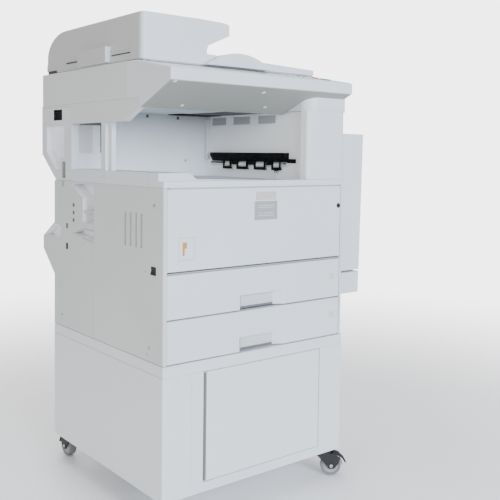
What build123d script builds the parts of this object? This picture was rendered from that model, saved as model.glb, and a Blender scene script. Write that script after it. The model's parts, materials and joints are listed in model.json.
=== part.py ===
"""Office photocopier on a cabinet stand, with an in-body paper exit and a document feeder on top.

All sizes are millimetres. Every piece is described in machine coordinates: x runs right from the left
side of the body, y runs back from the front of the body, z runs up from the floor. The helpers below
shift x and y by LEFT and FRONT, so that the saved parts have their origin on the floor, in the middle
of the whole copier's footprint, with the front facing -Y.
"""
from build123d import *
from math import atan2, cos, degrees, radians, sin
import os

# ---------------------------------------------------------------- driving dimensions
BODY_W = 568.0            # body and cabinet width
BODY_D = 570.0            # depth of the lower body and of the cabinet
UPPER_D = 652.0           # depth to the back of the scanner and the rear housing
PANEL_PROUD = 25.0        # how far the operation panel's lip stands in front of the body
LATCH_PROUD = 10.0        # how far the feeder's latch stands out past the left side
RIGHT_UNIT_W = 92.0       # how far the duplex unit stands out past the right side

CABINET_Z = 72.0          # underside of the cabinet
CAP_Z = 360.0             # seam between the cabinet's box and its top
BODY_Z = 387.0            # underside of the copier, on the cabinet's top
BODY_GAP = 1.6            # shadow line between the cabinet's top and the copier's covers
TRAY_GAP_Z = 490.0        # gap line between the two paper trays
COVER_Z = 597.0           # gap line between the upper tray and the front cover
RIM_Z = 790.0             # seam under the rim of the exit tray
RIM_TOP = 805.0           # top of the front rim
CEILING_Z = 982.0         # underside of the scanner over the exit space
SEAM_Z = 996.0            # seam between the scanner's pan and its case
GLASS_Z = 1085.0          # top of the scanner
LID_TOP = 1197.0          # top of the document feeder

WALL = 3.0                # steel and plastic shells
GAP = 0.4                 # clearance between neighbouring pieces that do not move on each other
COVER_T = 8.6             # thickness of the side covers
PIN_R = 3.0               # hinge pins
PIN_L = 14.0
FIT = 0.06                # radial running clearance of a pin or a shaft in its bore

TRAY_X = (9.3, 553.5)     # left and right ends of the tray fronts and of the front cover
TRAY_DEPTH = 520.0
TOWER_X = 446.0           # exit wall, where the paper comes out
COLUMN_X = 434.0          # left edge of the right-hand column
REAR_WALL_Y = 463.0       # back wall of the exit space
DUPLEX_Y = (20.0, 540.0)
SIDE_HINGE = (575.0, 534.0)   # upright axis of the covers on the right side

LEFT = -(RIGHT_UNIT_W + BODY_W - LATCH_PROUD) / 2
FRONT = -(UPPER_D - PANEL_PROUD) / 2


# ---------------------------------------------------------------- helpers
def mx(x):
    return x + LEFT


def my(y):
    return y + FRONT


def block(x, y, z, mode=Mode.ADD):
    """Rectangular block between the (low, high) pairs x, y and z."""
    with Locations((mx((x[0] + x[1]) / 2), my((y[0] + y[1]) / 2), (z[0] + z[1]) / 2)):
        Box(x[1] - x[0], y[1] - y[0], z[1] - z[0], mode=mode)


def prism_x(outline, x0, x1, mode=Mode.ADD):
    """Outline of (y, z) points, extruded from x0 to x1."""
    with BuildSketch(Plane.YZ.offset(mx(x0))) as section:
        Polygon(*[(my(y), z) for y, z in outline], align=None)
    extrude(section.sketch, amount=x1 - x0, mode=mode)


def prism_y(outline, y0, y1, mode=Mode.ADD):
    """Outline of (x, z) points, extruded from y0 to y1."""
    with BuildSketch(Plane(origin=(0, my(y1), 0), x_dir=(1, 0, 0), z_dir=(0, -1, 0))) as section:
        Polygon(*[(mx(x), z) for x, z in outline], align=None)
    extrude(section.sketch, amount=y1 - y0, mode=mode)


def prism_z(outline, z0, z1, mode=Mode.ADD):
    """Outline of (x, y) points, extruded from z0 to z1."""
    with BuildSketch(Plane.XY.offset(z0)) as section:
        Polygon(*[(mx(x), my(y)) for x, y in outline], align=None)
    extrude(section.sketch, amount=z1 - z0, mode=mode)


def rod_x(y, z, r, x0, x1, mode=Mode.ADD):
    with BuildSketch(Plane.YZ.offset(mx(x0))) as section:
        with Locations((my(y), z)):
            Circle(r)
    extrude(section.sketch, amount=x1 - x0, mode=mode)


def rod_y(x, z, r, y0, y1, mode=Mode.ADD):
    with BuildSketch(Plane(origin=(0, my(y1), 0), x_dir=(1, 0, 0), z_dir=(0, -1, 0))) as section:
        with Locations((mx(x), z)):
            Circle(r)
    extrude(section.sketch, amount=y1 - y0, mode=mode)


def rod_z(x, y, r, z0, z1, mode=Mode.ADD):
    with BuildSketch(Plane.XY.offset(z0)) as section:
        with Locations((mx(x), my(y))):
            Circle(r)
    extrude(section.sketch, amount=z1 - z0, mode=mode)


def upright_edges(builder, x, y):
    """Vertical edges of the open part that stand at (x, y)."""
    spot = (mx(x), my(y))
    found = []
    for edge in builder.edges().filter_by(Axis.Z):
        centre = edge.center()
        if abs(centre.X - spot[0]) < 0.2 and abs(centre.Y - spot[1]) < 0.2:
            found.append(edge)
    return found


def save(builder, name):
    builder.part.label = name
    export_step(builder.part, f"parts/{name}.step")


os.makedirs("parts", exist_ok=True)

# ---------------------------------------------------------------- cabinet stand
DOOR_X = (112.0, 487.0)       # door opening in the cabinet's front
DOOR_Z = (95.0, CAP_Z)
DOOR_T = 16.0
DOOR_AXIS = (122.0, DOOR_T / 2)
FLANGE_D = 18.0
STRIP_X = 78.0                # upright groove beside the door
REBATE = 1.8                  # depth of the shadow line between the cabinet's box and its top

with BuildPart() as cabinet_shell:
    block((0, BODY_W), (0, BODY_D), (CABINET_Z, CAP_Z))
    fillet(upright_edges(cabinet_shell, 0, 0) + upright_edges(cabinet_shell, BODY_W, 0), 4)
    block((WALL, BODY_W - WALL), (WALL, BODY_D - WALL), (CABINET_Z + WALL, CAP_Z + 1), Mode.SUBTRACT)
    block(DOOR_X, (-1, WALL + 0.1), (DOOR_Z[0], CAP_Z + 1), Mode.SUBTRACT)
    for x in (DOOR_X[0] - WALL, DOOR_X[1]):
        block((x, x + WALL), (WALL, FLANGE_D), (CABINET_Z + WALL, CAP_Z))
    block(DOOR_X, (0.5, FLANGE_D), (DOOR_Z[0] - WALL, DOOR_Z[0]))
    block((STRIP_X, STRIP_X + 1.2), (-1, 0.8), (DOOR_Z[0], CAP_Z - 2), Mode.SUBTRACT)
save(cabinet_shell, "cabinet_shell")

with BuildPart() as cabinet_top:
    block((0, BODY_W), (0, BODY_D), (CAP_Z, BODY_Z))
    fillet(upright_edges(cabinet_top, 0, 0) + upright_edges(cabinet_top, BODY_W, 0), 4)
    fillet(cabinet_top.edges().group_by(Axis.Z)[-1], 1.2)
    for x in ((-1, REBATE), (BODY_W - REBATE, BODY_W + 1)):
        block(x, (-1, BODY_D + 1), (CAP_Z, CAP_Z + 1.8), Mode.SUBTRACT)
    for y in ((-1, REBATE), (BODY_D - REBATE, BODY_D + 1)):
        block((-1, BODY_W + 1), y, (CAP_Z, CAP_Z + 1.8), Mode.SUBTRACT)
    block((WALL, BODY_W - WALL), (FLANGE_D, BODY_D - WALL), (CAP_Z - 1, BODY_Z - WALL), Mode.SUBTRACT)
save(cabinet_top, "cabinet_top")

with BuildPart() as cabinet_door:
    block((DOOR_AXIS[0], DOOR_X[1] - 2.5), (0, DOOR_T), (DOOR_Z[0] + 2.5, DOOR_Z[1] - 2.5))
    rod_z(*DOOR_AXIS, DOOR_T / 2, DOOR_Z[0] + 2.5, DOOR_Z[1] - 2.5)
    fillet(upright_edges(cabinet_door, DOOR_X[1] - 2.5, 0), 2)
    block((132, DOOR_X[1] - 5.5), (WALL, DOOR_T + 1), (DOOR_Z[0] + 6, DOOR_Z[1] - 6), Mode.SUBTRACT)
    rod_z(*DOOR_AXIS, PIN_R + FIT, DOOR_Z[0] + 2, DOOR_Z[0] + PIN_L + 2, Mode.SUBTRACT)
    rod_z(*DOOR_AXIS, PIN_R + FIT, DOOR_Z[1] - PIN_L - 2, DOOR_Z[1] - 2, Mode.SUBTRACT)
save(cabinet_door, "cabinet_door")

# ---------------------------------------------------------------- casters
CASTERS = {                   # swivel axis and the direction in which each caster trails, in degrees
    "fl": (43.0, 32.0, -112.0),
    "fr": (524.0, 32.0, -37.0),
    "rl": (43.0, 536.0, 92.0),
    "rr": (524.0, 536.0, 58.0),
}
WHEEL_R = 28.0
WHEEL_W = 22.0
TRAIL = 30.0
PLATE_T = 3.0
KINGPIN_R = 6.0
AXLE_R = 4.0
CHEEK = [(-19, 64), (20, 64), (44, 58), (52, 48), (50, 34), (38, 20), (24, 20), (8, 40), (-8, 56)]
HOOD = [(-19, 59.5), (-19, 64), (20, 64), (44, 58), (57, 45), (62, 32), (59.8, 32), (55, 43.5), (43, 55.8),
        (20, 59.5)]

PEDAL_AT = (38.0, 60.5)       # brake pedal's pivot, along the caster's heading and up
PEDAL_PIN_R = 2.0
PEDAL_HALF = 9.0              # half of the pedal's width
PEDAL_SIDE = [(36, 64), (40, 64), (52, 60.5), (65, 48), (72, 36), (69, 34), (61.5, 45), (50, 56), (42, 57.5),
              (36, 58)]

with BuildPart() as caster_plates:
    for sx, sy, _ in CASTERS.values():
        block((sx - 30, sx + 30), (sy - 27, sy + 27), (CABINET_Z - PLATE_T, CABINET_Z))
        rod_z(sx, sy, KINGPIN_R, CABINET_Z - 13, CABINET_Z - PLATE_T)
save(caster_plates, "caster_plates")


def caster_fork(sx, sy, heading, with_brake):
    """Swivel fork with two cheeks, a hood over the wheel and the wheel's axle, and ears for a brake pedal."""
    along = (cos(radians(heading)), sin(radians(heading)), 0)
    across = (sin(radians(heading)), -cos(radians(heading)), 0)
    cheek_y = WHEEL_W / 2 + 1.0
    side = Plane(origin=(mx(sx), my(sy), 0), x_dir=along, z_dir=across)
    with BuildPart() as fork:
        rod_z(sx, sy, 19, 59.5, 67)
        with BuildSketch(side.offset(-cheek_y - 3)):
            Polygon(*CHEEK, align=None)
        extrude(amount=3)
        with BuildSketch(side.offset(cheek_y)):
            Polygon(*CHEEK, align=None)
        extrude(amount=3)
        with BuildSketch(side.offset(-cheek_y - 3)):
            Polygon(*HOOD, align=None)
        extrude(amount=2 * cheek_y + 6)
        with BuildSketch(side.offset(-cheek_y - 3)):
            with Locations((TRAIL, WHEEL_R)):
                Circle(AXLE_R)
        extrude(amount=2 * cheek_y + 6)
        rod_z(sx, sy, KINGPIN_R + FIT, 50, 68, Mode.SUBTRACT)
        if with_brake:
            with BuildSketch(side.offset(-PEDAL_HALF - 0.4)):
                with Locations((55, 50)):
                    Rectangle(42, 40)
            extrude(amount=2 * PEDAL_HALF + 0.8, mode=Mode.SUBTRACT)
            with BuildSketch(side.offset(-cheek_y - 3)):
                Polygon((30, 55), (44, 55), (41, 64), (35, 65), align=None)
            extrude(amount=3)
            with BuildSketch(side.offset(cheek_y)):
                Polygon((30, 55), (44, 55), (41, 64), (35, 65), align=None)
            extrude(amount=3)
            with BuildSketch(side.offset(-cheek_y - 3)):
                with Locations(PEDAL_AT):
                    Circle(PEDAL_PIN_R + FIT)
            extrude(amount=2 * cheek_y + 6, mode=Mode.SUBTRACT)
    return fork


def caster_wheel(sx, sy, heading):
    """Tyred wheel with rounded shoulders and a bore for the axle."""
    along = (cos(radians(heading)), sin(radians(heading)), 0)
    across = (sin(radians(heading)), -cos(radians(heading)), 0)
    side = Plane(origin=(mx(sx), my(sy), 0), x_dir=along, z_dir=across)
    with BuildPart() as wheel:
        with BuildSketch(side.offset(-WHEEL_W / 2)):
            with Locations((TRAIL, WHEEL_R)):
                Circle(WHEEL_R)
                Circle(AXLE_R + FIT, mode=Mode.SUBTRACT)
        extrude(amount=WHEEL_W)
        rims = [e for e in wheel.edges().filter_by(GeomType.CIRCLE) if e.radius > WHEEL_R - 1]
        fillet(rims, 4)
    return wheel


def brake_pedal(sx, sy, heading):
    """Foot pedal that swings down behind the wheel to lock it."""
    along = (cos(radians(heading)), sin(radians(heading)), 0)
    across = (sin(radians(heading)), -cos(radians(heading)), 0)
    side = Plane(origin=(mx(sx), my(sy), 0), x_dir=along, z_dir=across)
    with BuildPart() as pedal:
        with BuildSketch(side.offset(-PEDAL_HALF)):
            Polygon(*PEDAL_SIDE, align=None)
        extrude(amount=2 * PEDAL_HALF)
        with BuildSketch(side.offset(-WHEEL_W / 2 - 4)):
            with Locations(PEDAL_AT):
                Circle(PEDAL_PIN_R)
        extrude(amount=WHEEL_W + 8)
    return pedal


save(brake_pedal(*CASTERS["fr"]), "brake_pedal_fr")

for corner, (stem_x, stem_y, heading_deg) in CASTERS.items():
    save(caster_fork(stem_x, stem_y, heading_deg, corner == "fr"), f"caster_fork_{corner}")
    save(caster_wheel(stem_x, stem_y, heading_deg), f"caster_wheel_{corner}")

# ---------------------------------------------------------------- lower body: frame
FRAME_X = (COVER_T + GAP, BODY_W - COVER_T - GAP)
FRAME_Y = (26.0, 560.0)
DECK_Z = 600.0
RAIL_TOP = TRAY_GAP_Z + 1.0
FEED_X = 480.0
FEED_ROLLERS = {1: (590.0, 8.0), 2: (482.0, 7.0)}    # height and radius of each tray's feed roller
SHAFT_R = 3.0

with BuildPart() as base_frame:
    block(FRAME_X, FRAME_Y, (BODY_Z, BODY_Z + WALL))
    for x in (FRAME_X[0], FRAME_X[1] - WALL):
        block((x, x + WALL), FRAME_Y, (BODY_Z + WALL, DECK_Z))
    block(FRAME_X, (FRAME_Y[1] - WALL, FRAME_Y[1]), (BODY_Z + WALL, DECK_Z))
    block(FRAME_X, FRAME_Y, (DECK_Z, DECK_Z + WALL))
    for x in (FRAME_X[0] + WALL, FRAME_X[1] - WALL - 6):
        block((x, x + 6), (30, FRAME_Y[1] - WALL), (RAIL_TOP - WALL, RAIL_TOP))
    for roller_z, roller_r in FEED_ROLLERS.values():
        rod_y(FEED_X, roller_z, SHAFT_R + FIT, FRAME_Y[1] - WALL - 1, FRAME_Y[1] + 1, Mode.SUBTRACT)
save(base_frame, "base_frame")

# ---------------------------------------------------------------- lower body: covers
VENTS_Y = (96.0, 121.0, 146.0, 171.0)
VENT_Z = (647.0, 727.0)
SWITCH_Y = (32.0, 54.0)
SWITCH_Z = (590.0, 610.0)
SWITCH_PIVOT = (5.5, 600.0)
SWITCH_PIN_R = 1.2
SPLIT_Y = 334.0               # seam between the front and the rear part of the left side

with BuildPart() as left_cover:
    block((0, COVER_T), (0, SPLIT_Y - GAP), (BODY_Z + BODY_GAP, RIM_Z))
    fillet(upright_edges(left_cover, 0, 0), 6)
    for y in VENTS_Y:
        block((-1, COVER_T + 1), (y - 3, y + 3), VENT_Z, Mode.SUBTRACT)
    block((-1, COVER_T + 1), SWITCH_Y, SWITCH_Z, Mode.SUBTRACT)
    rod_y(*SWITCH_PIVOT, SWITCH_PIN_R + FIT, SWITCH_Y[0] - 3, SWITCH_Y[1] + 3, Mode.SUBTRACT)
    rod_x(78, 595, 2.5, -1, 2, Mode.SUBTRACT)
    rod_x(68, 404, 3.5, -1, 2, Mode.SUBTRACT)
save(left_cover, "left_cover")

UPPER_POCKET = [(335, 785), (462, 785), (462, 780), (398, 749), (398, 684), (335, 684)]
LOWER_POCKET = [(335, 664), (428, 664), (461, 650), (398, 646), (335, 640)]
POCKET_D = 36.0
CHEEK_D = 24.0                # depth of the recess that runs on into the duct at the back
LINER_OUTLINE = [(331.5, 789), (466, 789), (466, 778), (402, 747), (402, 668), (466, 668), (466, 636),
                 (331.5, 636)]
SIDE_SLOTS = [(450, 722, 732), (450, 702, 711), (450, 682, 691), (490, 661, 676), (490, 604, 622)]

with BuildPart() as left_rear_cover:
    block((0, COVER_T), (SPLIT_Y + GAP, BODY_D), (BODY_Z + BODY_GAP, RIM_Z))
    prism_x(LINER_OUTLINE, COVER_T, POCKET_D + 3)
    prism_x(UPPER_POCKET, -1, POCKET_D, Mode.SUBTRACT)
    prism_x(LOWER_POCKET, -1, 30, Mode.SUBTRACT)
    block((2, POCKET_D), (335, 398.5), (711.5, 715))
    block((COVER_T - 1, CHEEK_D + WALL), (529, BODY_D - COVER_T - GAP), (627, 670))
    block((-1, CHEEK_D), (532, BODY_D + 1), (630, 667), Mode.SUBTRACT)
    for y, z0, z1 in SIDE_SLOTS:
        block((-1, 5), (y - 3, y + 3), (z0, z1), Mode.SUBTRACT)
save(left_rear_cover, "left_rear_cover")

DUCT = [(BODY_D - 4, 675), (644, 628), (644, 592), (BODY_D, 527), (BODY_D - 4, 527)]
DUCT_END = [(BODY_D, 672.5), (644, 628), (644, 592), (BODY_D, 527)]
DUCT_INSIDE = [(BODY_D - 5, 670), (640, 625), (640, 594), (BODY_D - 5, 533)]
DUCT_WINDOW = [(BODY_D - 9, 630), (634, 630), (573, 667), (BODY_D - 9, 667)]
DUCT_W = 230.0
INLET_X = (470.0, 502.0)
INLET_Z = (430.0, 456.0)

with BuildPart() as rear_cover:
    block(FRAME_X, (BODY_D - COVER_T + 0.6, BODY_D), (BODY_Z + BODY_GAP, RIM_Z))
    prism_x(DUCT_END, 0, FRAME_X[0] + 1)
    prism_x(DUCT, FRAME_X[0], DUCT_W)
    prism_x(DUCT_INSIDE, CHEEK_D + 4, DUCT_W - WALL, Mode.SUBTRACT)
    prism_x(DUCT_WINDOW, -1, CHEEK_D, Mode.SUBTRACT)
    for z in range(560, 640, 12):
        block((290, 470), (BODY_D - 2, BODY_D + 1), (z, z + 5), Mode.SUBTRACT)
    block(INLET_X, (BODY_D - 10, BODY_D + 1), INLET_Z, Mode.SUBTRACT)
save(rear_cover, "rear_cover")

with BuildPart() as power_inlet:
    block((INLET_X[0] + GAP, INLET_X[1] - GAP), (BODY_D - 8, BODY_D), (INLET_Z[0] + GAP, INLET_Z[1] - GAP))
    block((INLET_X[0] - 3, INLET_X[1] + 3), (BODY_D, BODY_D + 2), (INLET_Z[0] - 3, INLET_Z[1] + 3))
    block((INLET_X[0] + 4, INLET_X[1] - 4), (BODY_D - 5, BODY_D + 3), (INLET_Z[0] + 4, INLET_Z[1] - 4),
          Mode.SUBTRACT)
    middle_x = (INLET_X[0] + INLET_X[1]) / 2
    for x, z in ((middle_x - 7, 440), (middle_x, 446), (middle_x + 7, 440)):
        block((x - 1, x + 1), (BODY_D - 6, BODY_D), (z - 2.5, z + 2.5))
save(power_inlet, "power_inlet")

LUG_Y = (SIDE_HINGE[1] - 7, SIDE_HINGE[1] + 7)
LUG_X = (BODY_W, SIDE_HINGE[0] + 7)
LUG_T = 3.6
DUPLEX_Z = (553.0, 927.0)
LOWER_DOOR_Z = (490.0, 548.0)
RIGHT_LUGS_Z = (LOWER_DOOR_Z[0] - 0.6 - LUG_T, LOWER_DOOR_Z[1] + 0.7)

with BuildPart() as right_cover:
    block((FRAME_X[1] + GAP, BODY_W), (0, BODY_D), (BODY_Z + BODY_GAP, RIM_Z))
    block((TRAY_X[1] + 1, BODY_W), (0, 25), (BODY_Z + BODY_GAP, RIM_Z))
    fillet(upright_edges(right_cover, BODY_W, 0), 12)
    block((FRAME_X[1], BODY_W + 1), (90, 450), (620, 770), Mode.SUBTRACT)
    for z in RIGHT_LUGS_Z:
        block((BODY_W - 1, LUG_X[1]), LUG_Y, (z, z + LUG_T))
save(right_cover, "right_cover")

INNER_Y = (36.0, 40.0)
BOTTLE = (392.0, 668.0)
BOTTLE_R = 42.0
DRUM = (470.0, 700.0)
DRUM_R = 30.0

with BuildPart() as front_inner_cover:
    block(TRAY_X, INNER_Y, (DECK_Z + WALL + GAP, RIM_Z - 1))
    rod_y(*BOTTLE, BOTTLE_R + 2.5, INNER_Y[0] - 1, INNER_Y[1] + 1, Mode.SUBTRACT)
    rod_y(*DRUM, 14, INNER_Y[0] - 1, INNER_Y[1] + 1, Mode.SUBTRACT)
    block((60, 300), (INNER_Y[0] - 1, INNER_Y[0] + 1), (640, 740), Mode.SUBTRACT)
save(front_inner_cover, "front_inner_cover")

FRONT_COVER_Z = (COVER_Z + 3.0, RIM_Z - 2.4)
FRONT_COVER_AXIS = (8.0, FRONT_COVER_Z[0] + 8.5)
FRONT_COVER_D = 26.0

with BuildPart() as front_cover:
    block(TRAY_X, (0, FRONT_COVER_D), FRONT_COVER_Z)
    front_edges = front_cover.edges().group_by(Axis.Y)[0]
    fillet(front_edges, 2.5)
    block((TRAY_X[0] + 18, TRAY_X[1] - 18), (WALL + 0.5, FRONT_COVER_D + 1),
          (FRONT_COVER_Z[0] + 4, FRONT_COVER_Z[1] - WALL), Mode.SUBTRACT)
    for x in (TRAY_X[0] + WALL, TRAY_X[1] - 18 - WALL):
        block((x, x + 18), (16, FRONT_COVER_D + 1), (FRONT_COVER_Z[0] + 16, FRONT_COVER_Z[1] - WALL),
              Mode.SUBTRACT)
    block((TRAY_X[0] - 1, TRAY_X[1] + 1), (-1, 0.7), (618, 619.2), Mode.SUBTRACT)
    rod_x(*FRONT_COVER_AXIS, PIN_R + FIT, TRAY_X[0] - 1, TRAY_X[0] + PIN_L + 1, Mode.SUBTRACT)
    rod_x(*FRONT_COVER_AXIS, PIN_R + FIT, TRAY_X[1] - PIN_L - 1, TRAY_X[1] + 1, Mode.SUBTRACT)
save(front_cover, "front_cover")

# ---------------------------------------------------------------- exit space
PLATEAU_X = 85.0              # raised left end of the exit tray
PLATEAU_Z = 823.0
POST_NOTCH = (272.0, 295.0)   # where the scanner's post reaches down past the exit tray

with BuildPart() as exit_tray:
    prism_y([(0, RIM_Z + GAP), (TOWER_X - GAP, RIM_Z + GAP), (TOWER_X - GAP, 802), (120, 808.5), (104, 808.5),
             (PLATEAU_X, PLATEAU_Z), (0, PLATEAU_Z)], 24, REAR_WALL_Y - GAP)
    block((0, BODY_W), (0, 26), (RIM_Z + GAP, RIM_TOP))
    fillet(upright_edges(exit_tray, 0, 0), 6)
    fillet(upright_edges(exit_tray, BODY_W, 0), 12)
    prism_y([(WALL, RIM_Z - 1), (TOWER_X - WALL, RIM_Z - 1), (TOWER_X - WALL, 799), (120, 805), (102, 805),
             (PLATEAU_X - 2, PLATEAU_Z - WALL), (WALL, PLATEAU_Z - WALL)],
            29, REAR_WALL_Y - WALL, Mode.SUBTRACT)
    block((10, BODY_W - 14), (WALL, 22), (RIM_Z - 1, RIM_TOP - WALL), Mode.SUBTRACT)
    block((-1, WALL - 0.8), (66, 78), (RIM_Z + 4, PLATEAU_Z - 4), Mode.SUBTRACT)
    block((-1, COVER_T), POST_NOTCH, (RIM_TOP, PLATEAU_Z + 1), Mode.SUBTRACT)
save(exit_tray, "exit_tray")

TOWER_TOP = CEILING_Z - GAP
SHAFT_X = TOWER_X + 2.0
EXIT_Z = 839.0
EXIT_R = 7.5
EXIT_ROLLERS = ((132.0, 13.0), (202.0, 19.0), (281.0, 19.0), (352.0, 13.0))    # middle and half-width of each
SLOT_Y = (98.0, 444.0)
SLOT_TOP = 847.0
SQUARES_Y = ((145, 220), (256, 334), (368, 438))
RIBS_Y = ((88.0, 92.0), (450.0, 454.0))

with BuildPart() as exit_tower:
    block((TOWER_X, BODY_W), (26.6, REAR_WALL_Y - GAP), (RIM_Z + GAP, TOWER_TOP))
    block((COLUMN_X, BODY_W), (0, 30), (RIM_TOP + GAP, TOWER_TOP))
    fillet(upright_edges(exit_tower, COLUMN_X, 0), 10)
    fillet(upright_edges(exit_tower, BODY_W, 0), 16)
    block((TOWER_X + 3.5, BODY_W + 1), (34, REAR_WALL_Y - 4), (RIM_Z + 4, TOWER_TOP - WALL), Mode.SUBTRACT)
    block((COLUMN_X + 4, BODY_W - 22), (3.5, 26), (RIM_TOP + 4, TOWER_TOP - WALL), Mode.SUBTRACT)
    block((478, 542), (60, 440), (RIM_Z - 1, RIM_Z + 6), Mode.SUBTRACT)
    block((TOWER_X - 1, TOWER_X + 4), SLOT_Y, (EXIT_Z - SHAFT_R - 0.6, SLOT_TOP), Mode.SUBTRACT)
    for y, half in EXIT_ROLLERS:
        block((TOWER_X - 1, TOWER_X + 4), (y - half - 1, y + half + 1), (EXIT_Z - EXIT_R - 1.2, EXIT_Z),
              Mode.SUBTRACT)
    for y in SQUARES_Y:
        block((TOWER_X - 1, TOWER_X + 2), y, (953, 976), Mode.SUBTRACT)
    for y in RIBS_Y:
        block((TOWER_X + 1, TOWER_X + 16), y, (EXIT_Z - 12, EXIT_Z + 12))
    rod_y(SHAFT_X, EXIT_Z, SHAFT_R + FIT, RIBS_Y[0][0] - 1, RIBS_Y[1][1] + 1, Mode.SUBTRACT)
save(exit_tower, "exit_tower")


def roller_shaft(x, z, shaft_r, roller_r, ends_y, rollers):
    """One shaft along Y with rollers fixed on it, each given by its middle and its half-width."""
    with BuildPart() as shaft:
        rod_y(x, z, shaft_r, *ends_y)
        for y, half in rollers:
            rod_y(x, z, roller_r, y - half, y + half)
    return shaft


EXIT_SHAFT_Y = (RIBS_Y[0][0], RIBS_Y[1][1])
save(roller_shaft(SHAFT_X, EXIT_Z, SHAFT_R, EXIT_R, EXIT_SHAFT_Y, EXIT_ROLLERS), "exit_roller")

FLAG_PIVOT = (TOWER_X - 3.5, 822.0)
FLAG_Y = (132.0, 138.0)
FLAG_PIN_R = 1.8
YOKE_Z = (826.5, 829.5)       # bar under each roller
YOKE_X = TOWER_X - 10
GUIDE_Y = (88.0, 427.0)
GUIDE = [(TOWER_X, 848), (TOWER_X - 5, 848), (TOWER_X - 14, 862), (TOWER_X - 16, 873), (TOWER_X, 873)]
with BuildPart() as exit_guide:
    prism_y(GUIDE, *GUIDE_Y)
    block((TOWER_X - 6, TOWER_X), (60, 90), (846, 857))
    for y, half in EXIT_ROLLERS:
        block((YOKE_X, TOWER_X - 0.5), (y - half - 4, y + half + 4), YOKE_Z)
        for arm_y in (y - half - 4, y + half + 1.5):
            block((YOKE_X, TOWER_X - 4.5), (arm_y, arm_y + 2.5), (YOKE_Z[0], GUIDE[1][1] + 10))
    for y in (FLAG_Y[0] - 2.6, FLAG_Y[1] + 0.4):
        block((FLAG_PIVOT[0] - 2.4, FLAG_PIVOT[0] + 2.4), (y, y + 2.2), (FLAG_PIVOT[1] - 3, YOKE_Z[0] + 1))
    rod_y(*FLAG_PIVOT, FLAG_PIN_R + FIT, FLAG_Y[0] - 4, FLAG_Y[1] + 4, Mode.SUBTRACT)
save(exit_guide, "exit_guide")

with BuildPart() as exit_flag:
    rod_y(*FLAG_PIVOT, FLAG_PIN_R, FLAG_Y[0] - 2.6, FLAG_Y[1] + 2.6)
    block((FLAG_PIVOT[0] - 1.5, FLAG_PIVOT[0] + 1.5), FLAG_Y, (806, FLAG_PIVOT[1]))
save(exit_flag, "exit_flag")

# rear housing behind the exit space; it leans back over the lower body
HOUSING = [(REAR_WALL_Y, RIM_Z + 3), (563, RIM_Z + 3), (UPPER_D, 862), (UPPER_D, SEAM_Z - 6 - GAP),
           (REAR_WALL_Y, SEAM_Z - 6 - GAP)]
HOUSING_INSIDE = [(467, 797), (562, 797), (648, 864), (648, 985), (467, 985)]
WINDOW = [(508, 940), (622, 940), (622, 868), (562, 820), (532, 820), (532, 852), (508, 852)]
TOP_LUG_Z = DUPLEX_Z[1] + 0.8

with BuildPart() as rear_housing:
    prism_x(HOUSING, 0, BODY_W)
    block((-1, BODY_W + 1), (REAR_WALL_Y - 1, REAR_WALL_Y + 1), (CEILING_Z - GAP, SEAM_Z), Mode.SUBTRACT)
    prism_x(HOUSING_INSIDE, 28, BODY_W - WALL, Mode.SUBTRACT)
    prism_x(WINDOW, -1, 25, Mode.SUBTRACT)
    block((-1, 20), (521, 579), (955, 985), Mode.SUBTRACT)
    block((-1, 20), (500, 524), (797, 842), Mode.SUBTRACT)
    for x in range(120, 420, 60):
        block((x, x + 40), (UPPER_D - 5, UPPER_D + 1), (900, 904), Mode.SUBTRACT)
        block((x, x + 40), (UPPER_D - 5, UPPER_D + 1), (915, 919), Mode.SUBTRACT)
    block((BODY_W - 1, LUG_X[1]), LUG_Y, (TOP_LUG_Z, TOP_LUG_Z + LUG_T))
save(rear_housing, "rear_housing")

# ---------------------------------------------------------------- small parts of the body
with BuildPart() as main_switch:
    prism_y([(2, SWITCH_Z[0] + 1), (-2.5, SWITCH_Z[0] + 1.6), (0.5, SWITCH_PIVOT[1]),
             (-0.5, SWITCH_Z[1] - 1.4), (3, SWITCH_Z[1] - 1), (7, SWITCH_PIVOT[1] + 3),
             (7, SWITCH_PIVOT[1] - 3)],
            SWITCH_Y[0] + 0.6, SWITCH_Y[1] - 0.6)
    rod_y(*SWITCH_PIVOT, SWITCH_PIN_R, SWITCH_Y[0] - 2.5, SWITCH_Y[1] + 2.5)
save(main_switch, "main_switch")

with BuildPart() as hinge_pins:
    for z in (DOOR_Z[0], DOOR_Z[1] - PIN_L):
        rod_z(*DOOR_AXIS, PIN_R, z, z + PIN_L)
    rod_x(*FRONT_COVER_AXIS, PIN_R, COVER_T, COVER_T + PIN_L)
    rod_x(*FRONT_COVER_AXIS, PIN_R, TRAY_X[1] + 1 - PIN_L, TRAY_X[1] + 1)
    for z in (RIGHT_LUGS_Z[0] + LUG_T, RIGHT_LUGS_Z[1] - PIN_L, RIGHT_LUGS_Z[1] + LUG_T, TOP_LUG_Z - PIN_L):
        rod_z(*SIDE_HINGE, PIN_R, z, z + PIN_L)
save(hinge_pins, "hinge_pins")

REAR_WALL_SCREWS = ((234, 974), (338, 972), (367, 848))
with BuildPart() as cover_screws:
    rod_x(40, 750, 3.5, -1.2, 0)
    rod_x(60, 420, 3.5, -1.2, 0)
    rod_x(520, 420, 3.5, -1.2, 0)
    for x, z in REAR_WALL_SCREWS:
        rod_y(x, z, 3.5, REAR_WALL_Y - 1.2, REAR_WALL_Y)
    for x in (40, 530):
        for z in (410, 760):
            rod_y(x, z, 3.5, BODY_D, BODY_D + 1.2)
save(cover_screws, "cover_screws")

# ---------------------------------------------------------------- paper trays
TRAYS = {1: (TRAY_GAP_Z + 1.6, COVER_Z - 4.0, 578.0), 2: (BODY_Z + 2.5, TRAY_GAP_Z - 1.5, 472.0)}
BOX_X = (FRAME_X[0] + WALL + 9, FRAME_X[1] - WALL - 9)
SCOOP = [(217, -1), (367, -1), (334, 17), (218, 17)]
SCOOP_H = 36.0


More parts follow.
